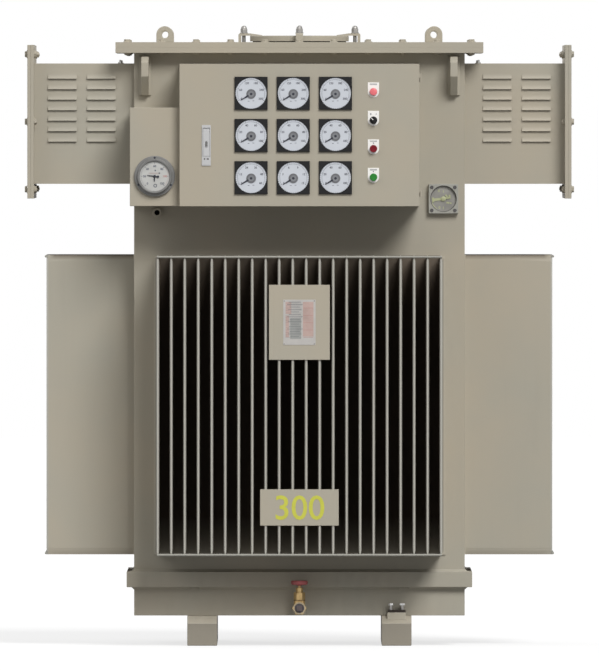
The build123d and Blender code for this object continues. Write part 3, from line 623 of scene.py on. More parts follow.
def shortenRods(depthAxis, bm):  # the rods along the tips end inside the outer fins
    tip = max(abs(v.co[depthAxis]) for v in bm.verts)
    atTip = [v for v in bm.verts if abs(v.co[depthAxis]) > tip - rodEnds["tipDepth"]]
    runAxis = 1 - depthAxis
    outer = sorted({round(abs(v.co[runAxis]), 4) for v in atTip})[-2]
    for v in atTip:
        if abs(v.co[runAxis]) > outer + rodEnds["beyondFin"]:
            v.co[runAxis] = math.copysign(outer - rodEnds["inset"], v.co[runAxis])


padFoot = 0.0136  # how far the pad's front edge reaches down the skid's sloping end


def seatPad(bm):
    low = Vector([min(v.co[axis] for v in bm.verts) for axis in range(3)])
    for v in bm.verts:
        if (v.co - low).yz.length < weldDistance:
            v.co.z -= padFoot


ownShapes = {
    "earth_pad": seatPad,
    "front_fins": partial(shortenRods, 1),
    "back_fins": partial(shortenRods, 1),
    "left_fins": partial(shortenRods, 0),
    "right_fins": partial(shortenRods, 0),
}


def sheetMetal():
    for node, edge in paintedEdges.items():
        first, *others = node.split("_")
        name = first + "".join(word.title() for word in others)
        finish = ownPaints.get(node, tankPaint)
        softened(name, node, finish, edge, ownShapes.get(node))


sheetMetal()
print("painted sheet metal done")


# fittings that keep the CAD solid's shape in another finish

fittings = {
    # the neck, in shadow under the lid's skirt, is drawn black: a painted shadow
    "handhole_neck": ("lidGasket", blackSealAndPaintedShade, "black_plastic", 0.0004),
    "drain_valve_body": ("valveBody", brass, "brass", 0.0008),
    "drain_plug": ("drainPlug", darkIron, "dark_iron", 0.0008),
    "valve_handwheel": ("valveWheel", wheelRed, "wheel_red", 0.0004),
    "handle_plate": ("handleTray", handleGrey, "handle_grey", 0.0006),
    "handle_lever": ("handleLever", handleGrey, "handle_grey", 0.0010),
    "switch_bodies": ("switchBlocks", blackPlastic, "black_plastic", 0.0008),
    "nameplate": ("nameplate", plateMetal, "plate_metal", 0.0003),
    "legend_plates": ("legendPlates", legendWhite, "legend_white", 0.0004),
}


def plainFittings():
    for node, (name, finish, slot, edge) in fittings.items():
        softened(name, node, finish, edge)


plainFittings()
print("fittings done")


# panel meters: square bezels, round dials, numbers, needles

meter = {
    "columns": 3,
    "rows": 3,
    "halfSize": 0.055,
    "edge": 0.0014,
    "window": 0.052,
    "windowEdge": 0.0006,
    "dialGap": 0.0003,
    "well": 0.0030,
    "barrel": 0.049,
    "barrelLength": 0.052,
    "barrelEdge": 0.002,
    "inkLift": 0.0002,
    "sweep": 240.0,
    "steps": 50,
    "majorEvery": 10,
    "arcRadius": 0.0448,
    "arcWidth": 0.0005,
    "minorTick": (0.0005, 0.0478),  # width, and the radius that it reaches
    "majorTick": (0.0011, 0.0492),
    "rimTicks": 48,
    "rimTick": (0.0009, 0.0497, 0.0516),  # width, inner and outer radius
    "mark": (0.0060, 0.0016),
    "markPlaces": ((-0.0085, -0.0265), (0.0075, -0.0255)),
    "lastNumber": 5,
    "numberRadius": 0.0366,
    "numberHeight": 0.0068,
    "numberBolder": 0.00022,
    "hub": (0.0100, 0.0160, 0.0016),  # inner and outer radius, height
    "hubDrop": 0.0024,
    "ring": ((0.0100, 0), (0.0100, 0.0019), (0.0042, 0.0013), (0, 0.0013)),
    "cap": ((0.0042, 0), (0.0042, 0.0020), (0.0034, 0.0023), (0, 0.0024)),
    "needle": (0.0305, 0.0062, 0.0024, 0.0008),
    "needleRoot": (0, 0.010, 0.0012),
    "needleRest": 1.0,  # degrees below the first number
    "post": ((0.003, 0), (0.003, 0.016), (0.0022, 0.017), (0, 0.017)),
    "postNut": (0.0085, 0.004, 0.0006),
    "secondNut": 0.007,
    "postSide": 0.022,
    "postDrop": 0.012,
    "tops": (300, 300, 300, 100, 100, 100, 60, 15, 100),
}


def meterPlaces():
    low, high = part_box("meter_cases")
    half = meter["halfSize"]
    xs = evenly(low.x + half, high.x - half, meter["columns"])
    return [(x, z) for z in evenly(high.z - half, low.z + half, meter["rows"]) for x in xs]


def meterScale(face, top, fine, bold):  # arc, ticks and plain numbers of one dial
    start = -meter["sweep"] / 2
    step = meter["sweep"] / meter["steps"]
    arc = meter["arcRadius"]
    lift = meter["inkLift"]
    link = bar(2 * arc * math.tan(math.radians(step / 2)), meter["arcWidth"], lift)
    for i in range(meter["steps"] + 1):
        isMajor = i % meter["majorEvery"] == 0
        width, out = meter["majorTick"] if isMajor else meter["minorTick"]
        turn = face @ turning(-start - step * i)
        stamp(bold if isMajor else fine, bar(width, out - arc, lift), shifted(turn, 0, (arc + out) / 2))
        if i:
            stamp(fine, link, shifted(turn @ turning(step / 2), 0, arc))
    width, inner, outer = meter["rimTick"]
    rimTick = bar(width, outer - inner, lift)
    for i in range(meter["rimTicks"]):
        turn = face @ turning(360 * i / meter["rimTicks"])
        stamp(fine, rimTick, shifted(turn, 0, (inner + outer) / 2))
    for u, v in meter["markPlaces"]:
        stamp(fine, bar(*meter["mark"], lift), shifted(face, u, v))
    last = meter["lastNumber"]
    for i in range(last + 1):
        u, v = around(start + meter["sweep"] * i / last, meter["numberRadius"])
        shape = digits(f"{top * i / last:g}", meter["numberHeight"], lift, meter["numberBolder"])
        stamp(bold, shape, shifted(face, u, v))


def meterCase(proud):  # the square bezel with its round window, and the barrel behind the door
    half, edge = meter["halfSize"], meter["edge"]
    window, windowEdge, well = meter["window"], meter["windowEdge"], meter["well"]
    barrel, back = meter["barrel"], -meter["barrelLength"]
    barrelEdge = meter["barrelEdge"]
    return lofted([
        (half, 0, 1), (half, proud - edge, 1), (half - edge, proud, 1),
        (window + windowEdge, proud, 0), (window, proud - windowEdge, 0), (window, well, 0),
    ]), turned([
        (0, back), (barrel - barrelEdge, back), (barrel, back + barrelEdge), (barrel, 0), (window, well),
    ])


def panelMeters():
    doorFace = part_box("control_door")[0].y
    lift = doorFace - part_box("meter_dials")[0].y
    bezel, barrel = meterCase(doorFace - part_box("meter_cases")[0].y)
    dial = disc(meter["window"] - meter["dialGap"], meter["well"], lift, roundness["hub"])
    hub = hoop(*meter["hub"])
    ring = turned(meter["ring"])
    cap = turned(meter["cap"])
    needle = blade(*meter["needle"])
    needleTurn = turning(meter["sweep"] / 2 + meter["needleRest"])
    post = turned(meter["post"], roundness["pin"])
    postNut = prism(hexagon, *meter["postNut"])
    cases, dials, fine, bold = bmesh.new(), bmesh.new(), bmesh.new(), bmesh.new()
    hubs, rings, caps, posts = bmesh.new(), bmesh.new(), bmesh.new(), bmesh.new()
    for (x, z), top in zip(meterPlaces(), meter["tops"]):
        place = facing(x, doorFace, z)
        face = facing(x, doorFace - lift, z)
        stamp(cases, bezel, place)
        stamp(cases, barrel, place)
        stamp(dials, dial, place)
        meterScale(face, top, fine, bold)
        lower = shifted(face, 0, -meter["hubDrop"])
        stamp(hubs, hub, lower)
        stamp(rings, ring, lower)
        stamp(caps, cap, lower)
        stamp(caps, needle, shifted(lower @ needleTurn, *meter["needleRoot"]))
        for side in (-meter["postSide"], meter["postSide"]):
            back = pointing(x + side, doorFace + meter["barrelLength"], z - meter["postDrop"], (0, 1, 0))
            stamp(posts, post, back)
            stamp(posts, postNut, back, shifted(back, 0, 0, meter["secondNut"]))
    keep("meterCases", cases, blackPlastic, "door", ["meter_cases"])
    keep("meterDials", dials, dialWhite, "door", ["meter_dials"])
    keep("meterTicks", fine, fineInk, "door")
    keep("meterNumbers", bold, dialInk, "door")
    keep("meterHubs", hubs, hubDark, "door")
    keep("meterHubRings", rings, hubPale, "door")
    keep("meterNeedles", caps, needleBlack, "door")
    keep("meterPosts", posts, brass, "door")


panelMeters()
print("meters done")


# lamp, selector and push buttons

switches = {
    "caps": {  # name, finish, slot, and the hollow of the face, which is below zero for a dome
        "pilot_lamp": ("pilotLamp", lampPink, "lamp_pink", -0.0007),
        "raise_button": ("raiseButton", buttonRed, "button_red", 0.0004),
        "lower_button": ("lowerButton", buttonGreen, "button_green", 0.0004),
    },
    "capRadius": 0.0125,
    "capHeight": 0.006,
    "capCorner": ((0, 0.0022), (0.0007, 0.0007), (0.0022, 0)),  # inside the rim, below the face
    "capLip": 0.0045,
    "middleShare": 1.6,
    "stemRadius": 0.008,
    "knobEdge": 0.0007,
    "pointer": (0.0020, 0.0100, 0.0004, 0.0001),
    "pointerTurn": 45,
    "pointerReach": 0.0060,
    "markLift": 0.0003,
    "rule": (0.0240, 0.0012),
    "ruleRises": (0.0262, 0.0234),
    "positions": ((-0.009, "0"), (0.009, "1")),
    "positionHeight": 0.0062,
    "positionBolder": 0.0003,
    "positionRise": 0.0205,
    "arrow": 0.0030,
    "arrowTurns": {"raise_button": 90, "lower_button": 270},
    "arrowRise": 0.0185,
}


def buttonCap(height, dish):  # a round cap with a rolled edge and a slightly hollow or domed face
    radius = switches["capRadius"]
    corner = [(radius - inset, height - drop) for inset, drop in switches["capCorner"]]
    lip = (radius - switches["capLip"], height - dish)
    return turned([(0, 0), (radius, 0)] + corner + [lip, (0, height - switches["middleShare"] * dish)])


def doorSwitches():
    for node, (name, finish, slot, dish) in switches["caps"].items():
        low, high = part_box(node)
        x, _, z = middle(node)
        deep = high.y - low.y
        dome = max(0, -switches["middleShare"] * dish)
        front = deep - dome if dome else switches["capHeight"]
        bm = bmesh.new()
        stamp(bm, buttonCap(front, dish), facing(x, low.y + front + dome, z))
        if not dome:
            stem = disc(switches["stemRadius"], 0, deep - front, roundness["knob"])
            stamp(bm, stem, facing(x, high.y, z))
        keep(name, bm, finish, frame["nodes"][node]["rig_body"], [node])
    softened("selectorKnob", "selector_knob", blackPlastic, switches["knobEdge"])
    x, _, z = middle("selector_knob")
    knobFace = facing(x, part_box("selector_knob")[0].y, z, switches["pointerTurn"])
    pointer = shifted(knobFace, 0, switches["pointerReach"])
    single("selectorPointer", bar(*switches["pointer"]), pointer, legendWhite, "selector")
    marks = bmesh.new()
    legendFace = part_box("legend_plates")[0].y
    lift = switches["markLift"]
    rule = bar(*switches["rule"], lift)
    for node in switches["caps"]:
        for rise in switches["ruleRises"]:
            stamp(marks, rule, facing(x, legendFace, middle(node).z + rise))
    for side, words in switches["positions"]:
        number = digits(words, switches["positionHeight"], lift, switches["positionBolder"])
        stamp(marks, number, facing(x + side, legendFace, z + switches["positionRise"]))
    for node, turn in switches["arrowTurns"].items():
        place = facing(x, legendFace, middle(node).z + switches["arrowRise"], turn)
        stamp(marks, prism(3, switches["arrow"], lift), place)
    keep("legendMarks", marks, fineInk, "door")


doorSwitches()
print("switches done")


# dial thermometer

dialThick = 0.0012  # of the thermometer's and the oil gauge's dials

thermometer = {
    "flange": ((0, 0.0085), (0.0008, 0.0102), (0.0022, 0.0110)),  # inside the rim, height
    "neck": ((0.0600, 0.0110), (0.0585, 0.0116), (0.0580, 0.0130)),  # radius, height
    "bezel": (  # radius, below the front
        (0.0580, 0.0035), (0.0572, 0.0012), (0.0555, 0), (0.0525, 0), (0.0508, 0.0010),
    ),
    "dialGap": 0.0003,
    "wellDrop": 0.0030,
    "wellFoot": 0.001,
    "scaleStart": -135.0,
    "sweep": 270.0,
    "steps": 60,
    "majorEvery": 10,
    "numbers": (0, 20, 40, 60, 80, 100, 120),
    "redFrom": 45.0,
    "tickOut": 0.0468,
    "minorTick": (0.0006, 0.0440),  # width, and the radius where it starts
    "majorTick": (0.0013, 0.0405),
    "numberRadius": 0.0340,
    "numberHeight": 0.0068,
    "numberBolder": 0.0003,
    "lift": 0.0003,
    "redLine": (0.0370, 0.0012),
    "redLinePlace": (-0.002, 0.0102),
    "spot": 0.0026,
    "spotPlaces": ((0.002, 0.0190), (0.0155, 0.0102)),
    "mark": (0.0036, 0.0062),
    "markPlace": (0.002, -0.0315),
    "hub": ((0.0046, 0), (0.0046, 0.0030), (0.0030, 0.0040), (0, 0.0040)),
    "needle": (0.0255, 0.0034, 0.0020, 0.0008),
    "needleTilt": -8.0,
    "needleLift": 0.0020,
    "tail": (0.0110, 0.0030, 0.0008),
    "weight": ((0.0042, 0.0016), (0.0042, 0.0028), (0, 0.0030)),
    "weightReach": 0.0112,
    "limit": (0.0175, 0.0048, 0.0034, 0.0008),
    "limitPlace": (0.0010, 0, 0.0010),
    "screw": ((0.0034, 0), (0.0034, 0.0014), (0.0024, 0.0022), (0, 0.0024)),
    "screwPlaces": ((0, 0.0622), (118, 0.0615), (-118, 0.0615)),  # angle, radius
}


def thermometerCase(outer, deep, bore, dialLift):  # flange, rolled bezel, well for the dial
    flange = [(outer - inset, height) for inset, height in thermometer["flange"]]
    bezel = [(radius, deep - drop) for radius, drop in thermometer["bezel"]]
    well = [(bore, deep - thermometer["wellDrop"]), (bore, dialLift - thermometer["wellFoot"])]
    return turned([(0, 0), (outer, 0), *flange, *thermometer["neck"], *bezel, *well], roundness["dial"])


def thermometerScale(face, fine, bold, red):
    lift = thermometer["lift"]
    out = thermometer["tickOut"]
    for i in range(thermometer["steps"] + 1):
        angle = thermometer["scaleStart"] + thermometer["sweep"] * i / thermometer["steps"]
        isMajor = i % thermometer["majorEvery"] == 0
        width, inner = thermometer["majorTick"] if isMajor else thermometer["minorTick"]
        target = bold if isMajor else red if angle > thermometer["redFrom"] else fine
        stamp(target, bar(width, out - inner, lift), shifted(face @ turning(-angle), 0, (inner + out) / 2))
    last = len(thermometer["numbers"]) - 1
    for i, number in enumerate(thermometer["numbers"]):
        angle = thermometer["scaleStart"] + thermometer["sweep"] * i / last
        u, v = around(angle, thermometer["numberRadius"])
        shape = digits(str(number), thermometer["numberHeight"], lift, thermometer["numberBolder"])
        stamp(red if i == last - 1 else bold, shape, shifted(face, u, v))
    stamp(red, bar(*thermometer["redLine"], lift), shifted(face, *thermometer["redLinePlace"]))
    for u, v in thermometer["spotPlaces"]:
        stamp(bold, stub(thermometer["spot"], lift), shifted(face, u, v))
    mark = hoop(*thermometer["mark"], lift, roundness["knob"])
    stamp(bold, mark, shifted(face, *thermometer["markPlace"]))


def dialThermometer():
    low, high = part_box("thermometer_case")
    x, _, z = middle("thermometer_case")
    dialLow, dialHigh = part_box("thermometer_dial")
    dialReach = (dialHigh.x - dialLow.x) / 2
    bore = dialReach + thermometer["dialGap"]
    case = thermometerCase((high.x - low.x) / 2, high.y - low.y, bore, high.y - dialLow.y)
    back = facing(x, high.y, z)
    face = facing(x, dialLow.y, z)
    single("thermometerCase", case, back, gaugeGrey, "regulator", ["thermometer_case"])
    dial = disc(dialReach, -dialThick, 0, roundness["dial"])
    single("thermometerDial", dial, face, dialPaper, "regulator", ["thermometer_dial"])
    fine, bold, red = bmesh.new(), bmesh.new(), bmesh.new()
    thermometerScale(face, fine, bold, red)
    needles = bmesh.new()
    tilt = face @ turning(thermometer["needleTilt"])
    lift = thermometer["needleLift"]
    tail = bar(*thermometer["tail"])
    stamp(needles, turned(thermometer["hub"], roundness["knob"]), face)
    stamp(needles, blade(*thermometer["needle"]), shifted(tilt @ turning(90), 0, 0, lift))
    stamp(needles, tail, shifted(tilt, thermometer["tail"][0] / 2, 0, lift))
    weight = turned(thermometer["weight"], roundness["knob"])
    stamp(needles, weight, shifted(tilt, thermometer["weightReach"], 0))
    stamp(needles, blade(*thermometer["limit"]), shifted(face @ turning(180), *thermometer["limitPlace"]))
    keep("thermometerTicks", fine, fineInk, "regulator")
    keep("thermometerNumbers", bold, fineInk, "regulator")
    keep("thermometerLimits", red, plateTint, "regulator")
    keep("thermometerNeedles", needles, needleBlack, "regulator")
    screws = bmesh.new()
    flangeFace = thermometer["flange"][-1][1]
    for angle, radius in thermometer["screwPlaces"]:
        u, v = around(angle, radius)
        stamp(screws, turned(thermometer["screw"], roundness["screw"]), shifted(back, u, v, flangeFace))
    keep("thermometerScrews", screws, needleBlack, "regulator")


dialThermometer()
print("thermometer done")


# oil gauge: square plate, sunk dial, pointer bar, a painted shade ring and a painted reflection

oilGauge = {
    "corner": 0.94,
    "edge": 0.0016,
    "windowEdge": 0.0010,
    "dialGap": 0.0003,
    "windowDrop": 0.0008,
    "wellFoot": 0.001,
    "rimWidth": 0.0018,
    "lift": 0.0004,
    "pointerTilt": 6.0,
    "pointerLift": 0.001,
    "pointerEdge": 0.0002,
    "pointerBars": (  # width, height, depth, right, up, turn
        (0.0330, 0.0085, 0.0010, -0.0205, 0.0000, 0),
        (0.0068, 0.0160, 0.0014, -0.0345, 0.0000, 0),
        (0.0230, 0.0070, 0.0012, 0.0125, 0.0018, 0),
        (0.0060, 0.0060, 0.0016, 0.0215, 0.0080, 0),
        (0.0120, 0.0050, 0.0018, 0.0115, 0.0075, -62),
    ),
    "hub": ((0.0082, 0), (0.0082, 0.0030), (0.0062, 0.0042), (0, 0.0042)),
    "marks": ((0.0100, 0.0056, 0.0150, -0.0130), (0.0055, 0.0045, 0.0245, -0.0145)),  # size and place
    "markTurn": -8.0,
    # the pale arc of bars below is a painted reflection on the dial's glass
    "paintedReflectionCount": 8,
    "arcTick": (0.0036, 0.0020),
    "arcStart": -146,
    "arcStep": 5,
    "arcRadius": 0.0395,
    "numbers": (
        ("0", -0.0150, 0.0270), ("1", 0.0005, 0.0245), ("0", -0.0130, -0.0290), ("1", 0.0000, -0.0300),
    ),
    "numberHeight": 0.0085,
    "numberBolder": 0.0004,
    "screw": (
        (0.006, -0.001), (0.006, 0.001), (0.005, 0.0018), (0.003, 0.0018), (0.0026, 0.0004), (0, 0.0004),
    ),
    "screwOffset": 0.0385,
}


def oilPlate(half, proud, bore, dialLift):  # square outside, round inside
    edge, square = oilGauge["edge"], oilGauge["corner"]
    window = bore - oilGauge["dialGap"] + oilGauge["windowEdge"]
    return lofted([
        (half, 0, square), (half, proud - edge, square), (half - edge, proud, square), (window, proud, 0),
        (bore, proud - oilGauge["windowDrop"], 0), (bore, dialLift - oilGauge["wellFoot"], 0),
    ], roundness["dial"])


def oilLevelGauge():
    low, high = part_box("oil_gauge_case")
    x, _, z = middle("oil_gauge_case")
    dialLow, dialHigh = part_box("oil_gauge_dial")
    reach = (dialHigh.x - dialLow.x) / 2
    plate = oilPlate((high.x - low.x) / 2, high.y - low.y, reach + oilGauge["dialGap"], high.y - dialLow.y)
    back = facing(x, high.y, z)
    face = facing(x, dialLow.y, z)
    lift = oilGauge["lift"]
    single("oilGaugePlate", plate, back, oilPlateGrey, "regulator", ["oil_gauge_case"])
    dial = disc(reach, -dialThick, 0, roundness["dial"])
    single("oilGaugeDial", dial, face, oilFace, "regulator", ["oil_gauge_dial"])
    # a dark ring round the sunk dial: painted shade of the well's wall
    rim = hoop(reach - oilGauge["rimWidth"], reach, lift, roundness["dial"])
    single("oilGaugeRimPaintedShade", rim, face, screwGrey, "regulator")
    pointer = bmesh.new()
    tilt = face @ turning(oilGauge["pointerTilt"])
    for width, height, depth, u, v, turn in oilGauge["pointerBars"]:
        place = shifted(tilt, u, v, oilGauge["pointerLift"]) @ turning(turn)
        stamp(pointer, bar(width, height, depth, oilGauge["pointerEdge"]), place)
    stamp(pointer, turned(oilGauge["hub"], roundness["knob"]), face)
    keep("oilPointer", pointer, oilYellow, "regulator")
    marks = bmesh.new()
    for width, height, u, v in oilGauge["marks"]:
        stamp(marks, bar(width, height, lift), shifted(face, u, v) @ turning(oilGauge["markTurn"]))
    # a painted reflection: a short pale arc of bars on the lower left of the dial
    for i in range(oilGauge["paintedReflectionCount"]):
        angle = oilGauge["arcStart"] + oilGauge["arcStep"] * i
        place = shifted(face, *around(angle, oilGauge["arcRadius"])) @ turning(-angle)
        stamp(marks, bar(*oilGauge["arcTick"], lift), place)
    for words, u, v in oilGauge["numbers"]:
        number = digits(words, oilGauge["numberHeight"], lift, oilGauge["numberBolder"])
        stamp(marks, number, shifted(face, u, v))
    keep("oilMarksAndPaintedReflection", marks, oilYellow, "regulator")
    screws = bmesh.new()
    screw = turned(oilGauge["screw"], roundness["screw"])
    offsets = (-oilGauge["screwOffset"], oilGauge["screwOffset"])
    for u in offsets:
        stamp(screws, screw, *[facing(x + u, low.y, z + v) for v in offsets])
    keep("oilGaugeScrews", screws, screwGrey, "regulator")


oilLevelGauge()
print("oil gauge done")


# hand-hole studs with washers and domed nuts

stud = {
    "radius": 0.006,
    "washer": ((0, 0), (0.0135, 0), (0.0135, 0.0022), (0.0125, 0.003), (0, 0.003)),
    "nut": 0.0205,
    "nutHeight": 0.012,
    "nutEdge": 0.001,
    "nutTurn": 15,
    "domeInset": 0.0004,
    "dome": ((0.0098, 0.0080), (0.0084, 0.0042), (0.0055, 0.0012), (0, 0)),  # radius, below the top
}


def lidStuds():
    low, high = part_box("clamp_studs")
    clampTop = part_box("lid_clamps")[1].z
    washerReach = max(radius for radius, _ in stud["washer"])
    nutFoot = clampTop + stud["washer"][-1][1]
    flat = stud["nut"] / 2 - stud["domeInset"]
    cap = [(radius, high.z - nutFoot - drop) for radius, drop in stud["dome"]]
    dome = turned([(flat, 0), (flat, stud["nutHeight"]), *cap], roundness["knob"])
    base = prism(hexagon, stud["nut"], stud["nutHeight"], stud["nutEdge"])
    washer = turned(stud["washer"], roundness["knob"])
    shank = turned([(stud["radius"], 0), (stud["radius"], clampTop - low.z)], roundness["screw"])
    bm = bmesh.new()
    for angle in (0, 90, 180, 270):
        u, v = around(angle, high.x - washerReach)
        stamp(bm, shank, onTop(u, v, low.z))
        stamp(bm, washer, onTop(u, v, clampTop))
        stamp(bm, base, onTop(u, v, nutFoot, stud["nutTurn"]))
        stamp(bm, dome, onTop(u, v, nutFoot))
    keep("lidStuds", bm, zinc, "regulator", ["clamp_studs"])


lidStuds()
print("hand-hole studs done")


# bolts round the cover and on the terminal flanges

bolts = {
    "flats": 0.018,
    "coverHead": 0.0075,
    "coverNut": 0.0042,
    "coverInset": 0.0390,
    "frontCount": 11,
    "sideCount": 9,
    "headTurn": 11,  # degrees from one bolt to the next
    "nutTurn": math.degrees(0.3),
    "flangeHead": 0.0065,
    "flangeInset": 0.0310,
    "flangeAcross": 5,
    "flangeUp": 3,
    "flangeTurn": math.degrees(0.4),
    "headEdgeShare": 0.08,
    "nutEdgeShare": 0.06,
    "washerShare": 0.76,
    "washerHeight": 0.0022,
    "washerSideShare": 0.6,
    "washerEdge": 0.0012,
    "endRadius": 0.0050,
    "endLength": 0.0020,
    "endEdge": 0.001,
}


def boltShapes(head, nut):  # washer and head, and washer, nut and the bolt's end
    flats = bolts["flats"]
    reach = flats * bolts["washerShare"]
    thick = bolts["washerHeight"]
    washer = turned([
        (0, 0), (reach, 0), (reach, thick * bolts["washerSideShare"]), (reach - bolts["washerEdge"], thick),
        (0, thick),
    ], roundness["screw"])
    end, edge = bolts["endRadius"], bolts["endEdge"]
    tall = thick + nut + bolts["endLength"]
    shank = turned([(end, 0), (end, tall - edge), (end - edge, tall), (0, tall)], roundness["pin"])
    upper, lower = bmesh.new(), bmesh.new()
    lifted = Matrix.Translation((0, 0, thick))
    stamp(upper, washer, Matrix())
    stamp(upper, prism(hexagon, flats, head, flats * bolts["headEdgeShare"]), lifted)
    stamp(lower, washer, Matrix())
    stamp(lower, prism(hexagon, flats, nut, flats * bolts["nutEdgeShare"]), lifted)
    stamp(lower, shank, Matrix())
    return toMesh(upper), toMesh(lower)


def coverBolts():
    low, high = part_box("cover_plate")
    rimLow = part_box("rim_flange")[0].z
    inset = bolts["coverInset"]
    xs = evenly(low.x + inset, high.x - inset, bolts["frontCount"])
    ys = evenly(low.y + inset, high.y - inset, bolts["sideCount"])
    upper, lower = boltShapes(bolts["coverHead"], bolts["coverNut"])
    bm = bmesh.new()
    for i, (x, y) in enumerate(roundEdge(xs, ys)):
        stamp(bm, upper, onTop(x, y, high.z, bolts["headTurn"] * i))
        stamp(bm, lower, pointing(x, y, rimLow, (0, 0, -1)) @ turning(bolts["nutTurn"] * i))
    keep("coverBolts", bm, tankPaint, "regulator")


def flangeBolts():
    bm = bmesh.new()
    upper, lower = boltShapes(bolts["flangeHead"], bolts["flangeHead"])
    inset = bolts["flangeInset"]
    for side, plate, flange in (
        (-1, "left_blank_plate", "left_terminal_flange"),
        (1, "right_blank_plate", "right_terminal_flange"),
    ):
        low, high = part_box(plate)
        flangeLow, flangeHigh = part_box(flange)
        outside, inside = (high.x, flangeLow.x) if side > 0 else (low.x, flangeHigh.x)
        ys = evenly(low.y + inset, high.y - inset, bolts["flangeAcross"])
        zs = evenly(low.z + inset, high.z - inset, bolts["flangeUp"])
        for i, (y, z) in enumerate(roundEdge(ys, zs)):
            turn = turning(bolts["flangeTurn"] * i)
            stamp(bm, upper, pointing(outside, y, z, (side, 0, 0)) @ turn)
            stamp(bm, lower, pointing(inside, y, z, (-side, 0, 0)) @ turn)
    keep("flangeBolts", bm, tankPaint, "regulator")


boxScrews = {
    "x": 0.600,
    "insetY": 0.040,
    "pin": ((0.0036, 0), (0.0036, 0.011), (0.0028, 0.012), (0, 0.012)),
    "head": (0.012, 0.004, 0.0006),
}


def terminalScrews():
    bm = bmesh.new()
    low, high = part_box("right_terminal_box")
    pin = turned(boxScrews["pin"], roundness["pin"])
    head = prism(hexagon, *boxScrews["head"])
    for x in (-boxScrews["x"], boxScrews["x"]):
        for y in (low.y + boxScrews["insetY"], high.y - boxScrews["insetY"]):
            stamp(bm, pin, onTop(x, y, high.z))
            stamp(bm, head, onTop(x, y, high.z))
    keep("terminalScrews", bm, brightPlate, "regulator")


coverBolts()
flangeBolts()
terminalScrews()
print("bolts done")


# plates on the fin tips

numberPlate = {"words": "300", "height": 0.079, "depth": 0.0006, "bolder": 0.0009}

nameplate = {
    "lift": 0.0002,
    "margin": 0.006,
    "fields": {  # left, right, bottom and top of each coloured field, as shares of the plate
        "nameplatePinkFields": (
            (0.62, 0.99, 0.16, 0.99), (0.02, 0.22, 0.70, 0.99), (0.02, 0.14, 0.14, 0.66),
        ),
        "nameplateGreyFields": ((0.18, 0.56, 0.10, 0.60),),
    },
    "rows": 15,
    "rowShares": (-0.36, 0.46),  # lowest and highest row, from the middle
    "rule": (0.56, -0.20, 0.0005),  # width and place as shares of the plate, height
    "wordShares": (0.30, 0.48, 0.36, 0.54, 0.42),
    "wordPlaceShare": -0.16,
    "wordHeight": 0.0018,
    "wordRise": 0.0035,
    "tint": (0.34, 0.305, 0.0012),
    "tintEvery": 3,
    "rivet": ((0.0024, 0), (0.0021, 0.0007), (0.0012, 0.0012), (0, 0.0013)),
    "rivetInset": 0.004,
}


def plateNumber():
    x, _, z = middle("number_plate")
    shape = digits(*[numberPlate[key] for key in ("words", "height", "depth", "bolder")])
    place = facing(x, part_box("number_plate")[0].y, z)
    single("plateNumber", shape, place, digitYellow, "regulator")


def nameplatePrint():
    low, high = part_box("nameplate")
    width = high.x - low.x - 2 * nameplate["margin"]
    height = high.z - low.z - 2 * nameplate["margin"]
    x, _, z = middle("nameplate")
    lift = nameplate["lift"]
    face = facing(x, low.y, z)
    for (name, fields), finish in zip(nameplate["fields"].items(), (platePink, plateGrey)):
        bm = bmesh.new()
        for left, right, bottom, top in fields:
            place = shifted(face, ((left + right) / 2 - 0.5) * width, ((bottom + top) / 2 - 0.5) * height)
            stamp(bm, bar((right - left) * width, (top - bottom) * height, lift), place)
        keep(name, bm, finish, "regulator")
    lines, tints = bmesh.new(), bmesh.new()
    lowest, highest = [share * height for share in nameplate["rowShares"]]
    ruleWidth, ruleX, ruleHeight = nameplate["rule"]
    tintWidth, tintX, tintHeight = nameplate["tint"]
    for i, v in enumerate(evenly(lowest, highest, nameplate["rows"])):
        wordWidth = nameplate["wordShares"][i % len(nameplate["wordShares"])]
        rule = bar(ruleWidth * width, ruleHeight, lift)
        words = bar(wordWidth * width, nameplate["wordHeight"], lift)
        stamp(lines, rule, shifted(face, ruleX * width, v, lift))
        wordX = nameplate["wordPlaceShare"] * width
        stamp(lines, words, shifted(face, wordX, v + nameplate["wordRise"], lift))
        if i % nameplate["tintEvery"] == 0:
            stamp(tints, bar(tintWidth * width, tintHeight, lift), shifted(face, tintX * width, v, lift))
    keep("nameplateLines", lines, plateInk, "regulator")
    keep("nameplateTints", tints, plateTint, "regulator")
    rivets = bmesh.new()
    rivet = turned(nameplate["rivet"], roundness["pin"])
    inset = nameplate["rivetInset"]
    for u in (low.x + inset, high.x - inset):
        stamp(rivets, rivet, *[facing(u, low.y, v) for v in (low.z + inset, high.z - inset)])
    keep("nameplateRivets", rivets, zinc, "regulator")


plateNumber()
nameplatePrint()
print("plates done")


# earth terminal on the right-hand skid

earth = {
    "barInset": (0.002, 0.006),
    "barHeight": 0.0085,
    "barEdge": 0.0006,
    "spread": 0.0375,
    "shank": 0.0058,
    "rise": 0.0170,
    "washer": 0.0105,
    "washerHeight": 0.0016,
    "head": (0.0165, 0.0048, 0.0008),
    "headTurns": (12, 37),
}


